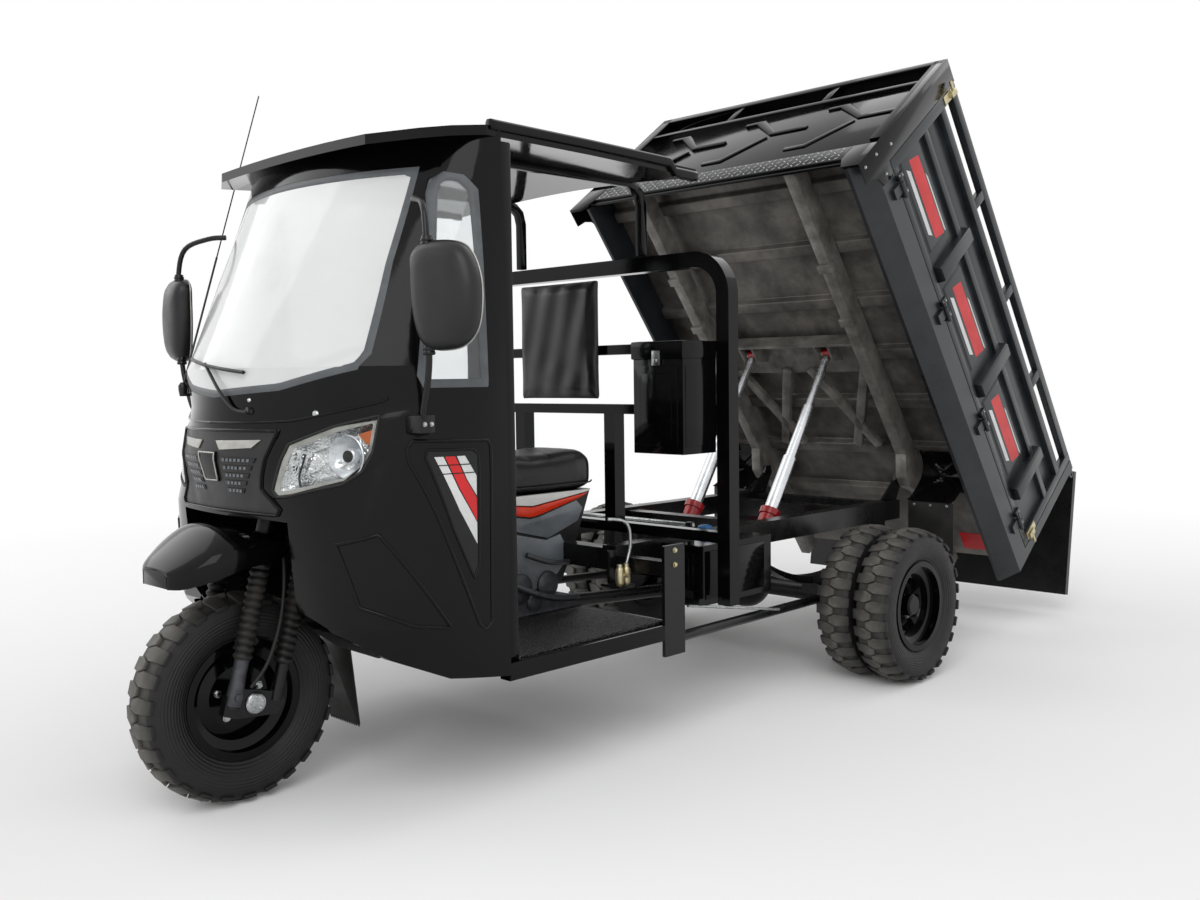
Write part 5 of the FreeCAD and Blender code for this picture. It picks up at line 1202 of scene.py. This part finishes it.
# headboard: pressed plate in a tube frame with folded corners, and a tread plate foot; sections are (across, outward)
headboard = {
    "front": -1.503,
    "plate": [(-0.64, 0.02), (0.64, 0.02), (0.716, 0.078), (0.716, 0.615), (-0.716, 0.615), (-0.716, 0.078)],
    "bars": [(0.717, -1.503, -1.445, 0.734, 0.77), (0.672, -1.501, -1.473, 0.591, 0.615)],
    "uprights": [(0.6945, 0.0245, -1.503, -1.453, 0.166, 0.769), (0.245, 0.017, -1.499, -1.463, 0.614, 0.735)],
    "corner": [(0, -0.03), (0.082, -0.03), (0.09, 0.02), (0.112, 0.055), (0.15, 0.076), (0.15, 0.15), (0.095, 0.15),
        (0.095, 0.77), (0, 0.77)],
    "wing": [(0.62, 0.036), (0.65, -0.03), (0.722, -0.03), (0.722, 0.13), (0.62, 0.13)],
    "steps": [
        [(-0.04, 0.54), (0.06, 0.54), (0.175, 0.412), (0.335, 0.412), (0.335, 0.388), (0.16, 0.388),
         (0.02, 0.52), (-0.04, 0.52)],
        [(-0.09, 0.24), (0.0, 0.24), (0.13, 0.372), (0.16, 0.372), (0.01, 0.214), (-0.09, 0.214)]],
    "stepsAt": (-0.47, -0.06, 0.35), "bolts": [(0.03, 0.0), (0.03, 0.09), (0.12, 0.11), (0.05, 0.2)],
    "plateAt": (-1.491, 0.01), "cornerAt": (0.72, 0.004), "wingThick": 0.011, "boltX": 0.724,
    "stepAt": (-1.4905, -0.007), "foot": (0.618, -1.502, -1.491, 0.036, 0.13)}
tread = {
    "from": (-0.6, 0.049), "at": -1.5018, "rows": 4, "columns": 44, "pitch": 0.0277, "rise": 0.0228, "long": 0.011,
    "wide": 0.0028, "turn": 0.8, "proud": 0.0012}
front = headboard["front"]
shape, bolts = newShape(), newShape()
r, thick = headboard["plateAt"]
addPrism(shape, [onBed(x, r, n) for x, n in headboard["plate"]], bedStep(thick, 0))
for half, *bar in headboard["bars"]:
    addBedBar(shape, 0, half, *bar)
for side in (-1, 1):
    for x, *bar in headboard["uprights"]:
        addBedBar(shape, side * x, *bar)
    x, thick = headboard["cornerAt"]
    addPrism(shape, [onBed(side * x, front + r, n) for r, n in headboard["corner"]], (side * thick, 0, 0))
    addPrism(shape, [onBed(side * x, front, n) for x, n in headboard["wing"]], bedStep(headboard["wingThick"], 0))
    places = [onBed(side * headboard["boltX"], front + r, n) for r, n in headboard["bolts"]]
    addBolts(bolts, places, (side, 0, 0), 0.006)
newPiece("headboardFrame", "bed", "stovedBlackEnamel", shape, bevel=0.0025, replaces="headboard")
shape, (r, deep) = newShape(), headboard["stepAt"]
for shift in headboard["stepsAt"]:
    for step in headboard["steps"]:
        addPrism(shape, [onBed(shift + x, r, n) for x, n in step], bedStep(deep, 0))
newPiece("headboardPressings", "bed", "stovedBlackEnamel", shape, bevel=0.003)
shape = addBedBar(newShape(), 0, *headboard["foot"])
newPiece("footPlate", "bed", "blackPowderCoat", shape, bevel=0.0015)
shape = newShape()
for row in range(tread["rows"]):
    for k in range(tread["columns"]):
        x, n = tread["from"][0] + k * tread["pitch"], tread["from"][1] + row * tread["rise"]
        turn = tread["turn"] if (k + row) % 2 else -tread["turn"]
        c, s = math.cos(turn), math.sin(turn)
        a, b = tread["long"], tread["wide"]
        lozenge = [(x - c * a, n - s * a), (x + s * b, n - c * b), (x + c * a, n + s * a), (x - s * b, n + c * b)]
        addPrism(shape, [onBed(u, tread["at"], w) for u, w in lozenge], bedStep(-tread["proud"], 0))
newPiece("footTread", "bed", "zincPlatedSteel", shape)
newPiece("cornerBolts", "bed", "zincPlatedSteel", bolts, bevel=0.0005)

# hinged sides: framed sheet with a recess, an open top band, hats and raised fields; boxes are (x, x, r, r, n, n)
# across the bed, along it and away from its floor, and spans of the decals are (from, to, low, high)
side = {
    "sheets": [(0.694, 0.706, -1.4, 0.53, 0.172, 0.478), (0.692, 0.698, -1.4, 0.53, 0.475, 0.615)],
    "beam": (0.69, 0.72, -1.403, 0.532), "beams": [(0.17, 0.204), (0.446, 0.48), (0.61, 0.65), (0.73, 0.77)],
    "end": (0.6895, 0.7205), "ends": [(-1.4035, -1.359), (0.488, 0.5325)], "endDepth": (0.1695, 0.7705),
    "stud": (0.6905, 0.7195), "studs": (-0.943, -0.485, -0.027), "studWide": 0.04, "studDepth": (0.648, 0.732),
    "hats": (-0.87, -0.3, 0.27), "hinges": (-1.293, -0.736, -0.18, 0.377),
    "hat": [(-0.037, 0.705), (-0.03, 0.738), (-0.026, 0.742), (0.026, 0.742), (0.03, 0.738), (0.037, 0.705)],
    "hatDepth": (0.225, 0.29), "field": (-0.5, -0.09, 0.236, 0.414), "fieldX": (0.7055, 0.712), "fieldEdge": 0.008,
    "hingeX": 0.735, "hingeN": 0.17, "leaf": (0.716, 0.727), "leafDepth": (0.17, 0.212), "leafBolt": (0.727, 0.2),
    "pinFrom": -0.046, "knuckles": [(-0.044, -0.022), (0.022, 0.044)],
    "knuckle": [(0, 0.0075), (0.0015, 0.009), (0.0205, 0.009), (0.022, 0.0075)],
    "pin": [(0, 0.003), (0.002, 0.004), (0.09, 0.004), (0.092, 0.003)], "red": [(0.0, 0.34, 0.3, 0.372)],
    "pale": [(0.02, 0.3, 0.262, 0.286), (0.1, 0.345, 0.38, 0.388)], "lean": 0.018, "decalFrom": -0.46,
    "decalX": 0.7118, "film": 0.0006, "boltX": 0.733,
    "latches": [(0.7205, 0.7235, -1.398, -1.364, 0.655, 0.75), (0.7235, 0.737, -1.393, -1.369, 0.7, 0.745),
        (0.7205, 0.7235, 0.493, 0.528, 0.21, 0.3), (0.7235, 0.737, 0.498, 0.523, 0.215, 0.262)],
    "bolt": [(0, 0.006), (0.055, 0.006), (0.057, 0.0045)], "bolts": [(-1.43, 0.722), (0.505, 0.238)]}
along = bedStep(1, 0)
frameShape, fieldShape, hingeShape, pinShape, latchShape = [newShape() for part in range(5)]
decals = {"red": newShape(), "pale": newShape()}
for box in side["sheets"]:
    addBedBox(frameShape, *box)
for low, high in side["beams"]:
    addBedBox(frameShape, *side["beam"], low, high)
for r0, r1 in side["ends"]:
    addBedBox(frameShape, *side["end"], r0, r1, *side["endDepth"])
for r in side["studs"]:
    addBedBox(frameShape, *side["stud"], r, r + side["studWide"], *side["studDepth"])
for hat in side["hats"]:
    low, high = side["hatDepth"]
    addPrism(frameShape, [onBed(x, hat + r, low) for r, x in side["hat"]], bedStep(0, high))
    r0, r1, low, high = side["field"]
    outer = [(hat + r0, low), (hat + r1, low), (hat + r1, high), (hat + r0, high)]
    lines = zip(side["fieldX"], (outer, insetOutline(outer, side["fieldEdge"])))
    addRings(fieldShape, [[onBed(x, r, n) for r, n in line] for x, line in lines])
    for tone, shape in decals.items():
        for a, b, low, high in side[tone]:
            a, b, lean = hat + side["decalFrom"] + a, hat + side["decalFrom"] + b, side["lean"]
            bar = [(a, low), (b, low), (b + lean, high), (a + lean, high)]
            addPrism(shape, [onBed(side["decalX"], r, n) for r, n in bar], (side["film"], 0, 0))
x, n = side["hingeX"], side["hingeN"]
for hinge in side["hinges"]:
    for r0, r1 in side["knuckles"]:
        addTurned(hingeShape, side["knuckle"], onBed(x, hinge + r0, n), along, 20)
        addBedBox(hingeShape, *side["leaf"], hinge + r0, hinge + r1, *side["leafDepth"])
        middle = onBed(side["leafBolt"][0], hinge + (r0 + r1) / 2, side["leafBolt"][1])
        addBolts(pinShape, [middle], (1, 0, 0), 0.0045)
    addTurned(pinShape, side["pin"], onBed(x, hinge + side["pinFrom"], n), along, 14)
for k, (r, n) in enumerate(side["bolts"]):
    for box in side["latches"][2 * k:2 * k + 2]:
        addBedBox(latchShape, *box)
    addTurned(latchShape, side["bolt"], onBed(side["boltX"], r, n), along, 14)
for part, finish, shape, bevel in (
        ("Frame", "charcoalTwoPack", frameShape, 0.002), ("Fields", "charcoalTwoPack", fieldShape, 0.0015),
        ("Hinges", "charcoalTwoPack", hingeShape, 0.0), ("Pins", "zincPlatedSteel", pinShape, 0.0),
        ("Red", "redVinylFilm", decals["red"], 0.0), ("Pale", "paleVinylFilm", decals["pale"], 0.0),
        ("Latch", "yellowPassivatedSteel", latchShape, 0.001)):
    for hand, half in (("left", shape), ("right", mirrorShape(shape))):
        replaced = "side_" + hand if part == "Frame" else None
        newPiece(hand + "Side" + part, hand + "_side", finish, half, bevel=bevel, replaces=replaced)

# red tape under the rear edge of the floor
tape = {"x": (0.44, 0.636), "r": (0.45, 0.55), "n": 0.1436, "film": 0.0008}
shape, (x0, x1), (r0, r1) = newShape(), tape["x"], tape["r"]
for hand in (-1, 1):
    corners = [onBed(hand * x, r, tape["n"]) for x, r in ((x0, r0), (x1, r0), (x1, r1), (x0, r1))]
    addPrism(shape, corners, bedStep(0, -tape["film"]))
newPiece("rearEdgeTape", "bed", "redVinylFilm", shape)

# mudguards: sheet pressed with a cross, three bolts and a rubber flap that hangs plumb
mudguard = {
    "curve": [(-0.06, 0.113, 0), (0.0, 0.1, 0), (0.036, 0.06, 0), (0.047, 0.0, 0), (0.045, -0.095, 0)],
    "columns": 20, "from": 0.427, "width": 0.206, "cross": (0.009, 0.004), "crossWide": 0.09,
    "top": (0.045, -0.093), "flap": (0.426, 0.634), "drop": 0.272, "rubber": 0.004, "bolts": (0.455, 0.53, 0.605)}
sheets, flaps, guardBolts = newShape(), newShape(), newShape()
curve = smoothPath(mudguard["curve"], 5)
rows, columns = len(curve), mudguard["columns"]
top = onBed(0, *mudguard["top"])
for hand in (-1, 1):
    points, faces = [], []
    for j, p in enumerate(curve):
        v = j / (rows - 1)
        for i in range(columns + 1):
            u = i / columns
            crossing = max(0.0, 1 - min(abs(u - v), abs(u + v - 1)) / mudguard["crossWide"])
            x, (dr, dn) = hand * (mudguard["from"] + mudguard["width"] * u), mudguard["cross"]
            points.append(onBed(x, p.x - dr * crossing, p.y - dn * crossing))
    for j in range(rows - 1):
        for i in range(columns):
            a = j * (columns + 1) + i
            faces.append((a, a + 1, a + columns + 2, a + columns + 1))
    addFaces(sheets, points, faces)
    low, (x0, x1) = top.z - mudguard["drop"], mudguard["flap"]
    outline = [(hand * x, top.y, z) for x, z in ((x0, top.z), (x1, top.z), (x1, low), (x0, low))]
    addPrism(flaps, outline, (0, mudguard["rubber"], 0))
    addBolts(guardBolts, [(hand * x, top.y - 0.001, top.z - 0.014) for x in mudguard["bolts"]], (0, -1, 0), 0.006)
newPiece("guardSheets", "bed", "stovedBlackEnamel", sheets, crease=30, thick=0.003, replaces="mudguards")
newPiece("guardFlaps", "bed", "sheetRubber", flaps, bevel=0.0008)
newPiece("guardBolts", "bed", "zincPlatedSteel", guardBolts)

# rod eyes of the two cylinders on their pins
eye = {
    "x": 0.195, "at": (0.7986, 1.2419), "eye": [(0, 0.02), (0.002, 0.0225), (0.034, 0.0225), (0.036, 0.02)],
    "eyeHalf": 0.018, "pin": [(0, 0.009), (0.0015, 0.01), (0.0425, 0.01), (0.044, 0.009)], "pinHalf": 0.022}
eyes, pins = newShape(), newShape()
for hand in (-1, 1):
    x = hand * eye["x"]
    addTurned(eyes, eye["eye"], (x - eye["eyeHalf"], *eye["at"]), (1, 0, 0), 24)
    addTurned(pins, eye["pin"], (x - eye["pinHalf"], *eye["at"]), (1, 0, 0), 18)
newPiece("rodEyes", "rods", "signalRedEnamel", eyes)
newPiece("rodEyePins", "rods", "zincPlatedSteel", pins)
print("bed dressed")


def addObject(name, data):
    thing = bpy.data.objects.new(name, data)
    scene.collection.objects.link(thing)
    return thing


# camera solved from the photograph: focal length for a 36 mm sensor, angles in radians
photoView = {
    "focal": 1142.145 * 36 / 1200, "place": (2.892, -3.3486, 1.145), "yaw": 0.7742, "pitch": -0.0621,
    "roll": -0.0127}
yaw, pitch, roll = photoView["yaw"], photoView["pitch"], photoView["roll"]
ahead = Vector((-math.sin(yaw) * math.cos(pitch), math.cos(yaw) * math.cos(pitch), math.sin(pitch)))
level = Vector((math.cos(yaw), math.sin(yaw), 0))
upward = level.cross(ahead)
right = level * math.cos(roll) + upward * math.sin(roll)
top = upward * math.cos(roll) - level * math.sin(roll)
lens = bpy.data.cameras.new("photoCamera")
lens.sensor_width = 36
lens.lens = photoView["focal"]
lens.clip_end = 100
camera = addObject("photoCamera", lens)
rows = [(right[i], top[i], -ahead[i], photoView["place"][i]) for i in range(3)]
camera.matrix_world = Matrix(rows + [(0, 0, 0, 1)])
scene.camera = camera

# floor of pale paint near the object, fading to the white of the backdrop so that no horizon shows
studio = {
    "floor": "#f3f3f3", "halfSize": 40.0, "fadeFrom": 3.2, "fadeTo": 7.0, "world": 0.72, "aimAt": (0, 0, 0.8),
    "lamps": [((4.5, -5.5, 5.5), 5.0, 170), ((-5.0, -3.0, 4.5), 5.0, 90), ((0.5, 4.5, 6.5), 6.0, 130)]}
h = studio["halfSize"]
floorMesh = bpy.data.meshes.new("floor")
floorMesh.from_pydata([(-h, -h, 0), (h, -h, 0), (h, h, 0), (-h, h, 0)], [], [(0, 1, 2, 3)])
floor = addObject("floor", floorMesh)
floorMaterial = bpy.data.materials.new("paleStudioFloor")
floorMaterial.use_nodes = True
tree = floorMaterial.node_tree
tree.nodes.clear()
paint = addNode(tree, "ShaderNodeBsdfDiffuse", {"Color": linear(studio["floor"]), "Roughness": 0.6})
white = addNode(tree, "ShaderNodeEmission", {"Color": (1, 1, 1, 1), "Strength": 1.0})
spot = addNode(tree, "ShaderNodeTexCoord").outputs["Object"]
distance = addNode(tree, "ShaderNodeVectorMath", {"operation": "LENGTH"}, i0=spot).outputs["Value"]
spread = {"interpolation_type": "SMOOTHSTEP", "From Min": studio["fadeFrom"], "From Max": studio["fadeTo"]}
fade = addNode(tree, "ShaderNodeMapRange", spread, Value=distance)
blend = addNode(tree, "ShaderNodeMixShader", None, i0=fade, i1=paint, i2=white)
addNode(tree, "ShaderNodeOutputMaterial", None, Surface=blend)
floor.data.materials.append(floorMaterial)

# the world is white to the camera and in reflections, and lights the object a little less
world = bpy.data.worlds.new("paleStudio")
scene.world = world
world.use_nodes = True
tree = world.node_tree
tree.nodes.clear()
path = addNode(tree, "ShaderNodeLightPath").outputs
seen = addNode(tree, "ShaderNodeMath", {"operation": "MAXIMUM"}, i0=path["Is Camera Ray"], i1=path["Is Glossy Ray"])
seen = addNode(tree, "ShaderNodeMath", {"operation": "MAXIMUM"}, i0=seen, i1=path["Is Transmission Ray"])
strength = addNode(tree, "ShaderNodeMapRange", {"To Min": studio["world"], "To Max": 1.0}, Value=seen)
glow = addNode(tree, "ShaderNodeBackground", {"Color": (1, 1, 1, 1)}, Strength=strength)
addNode(tree, "ShaderNodeOutputWorld", None, Surface=glow)

for i, (place, size, watts) in enumerate(studio["lamps"]):
    light = bpy.data.lights.new("softbox%d" % i, "AREA")
    light.energy = watts
    light.size = size
    softbox = addObject("softbox%d" % i, light)
    softbox.location = place
    softbox.rotation_euler = (Vector(studio["aimAt"]) - Vector(place)).to_track_quat("-Z", "Y").to_euler()
print("camera and studio set")
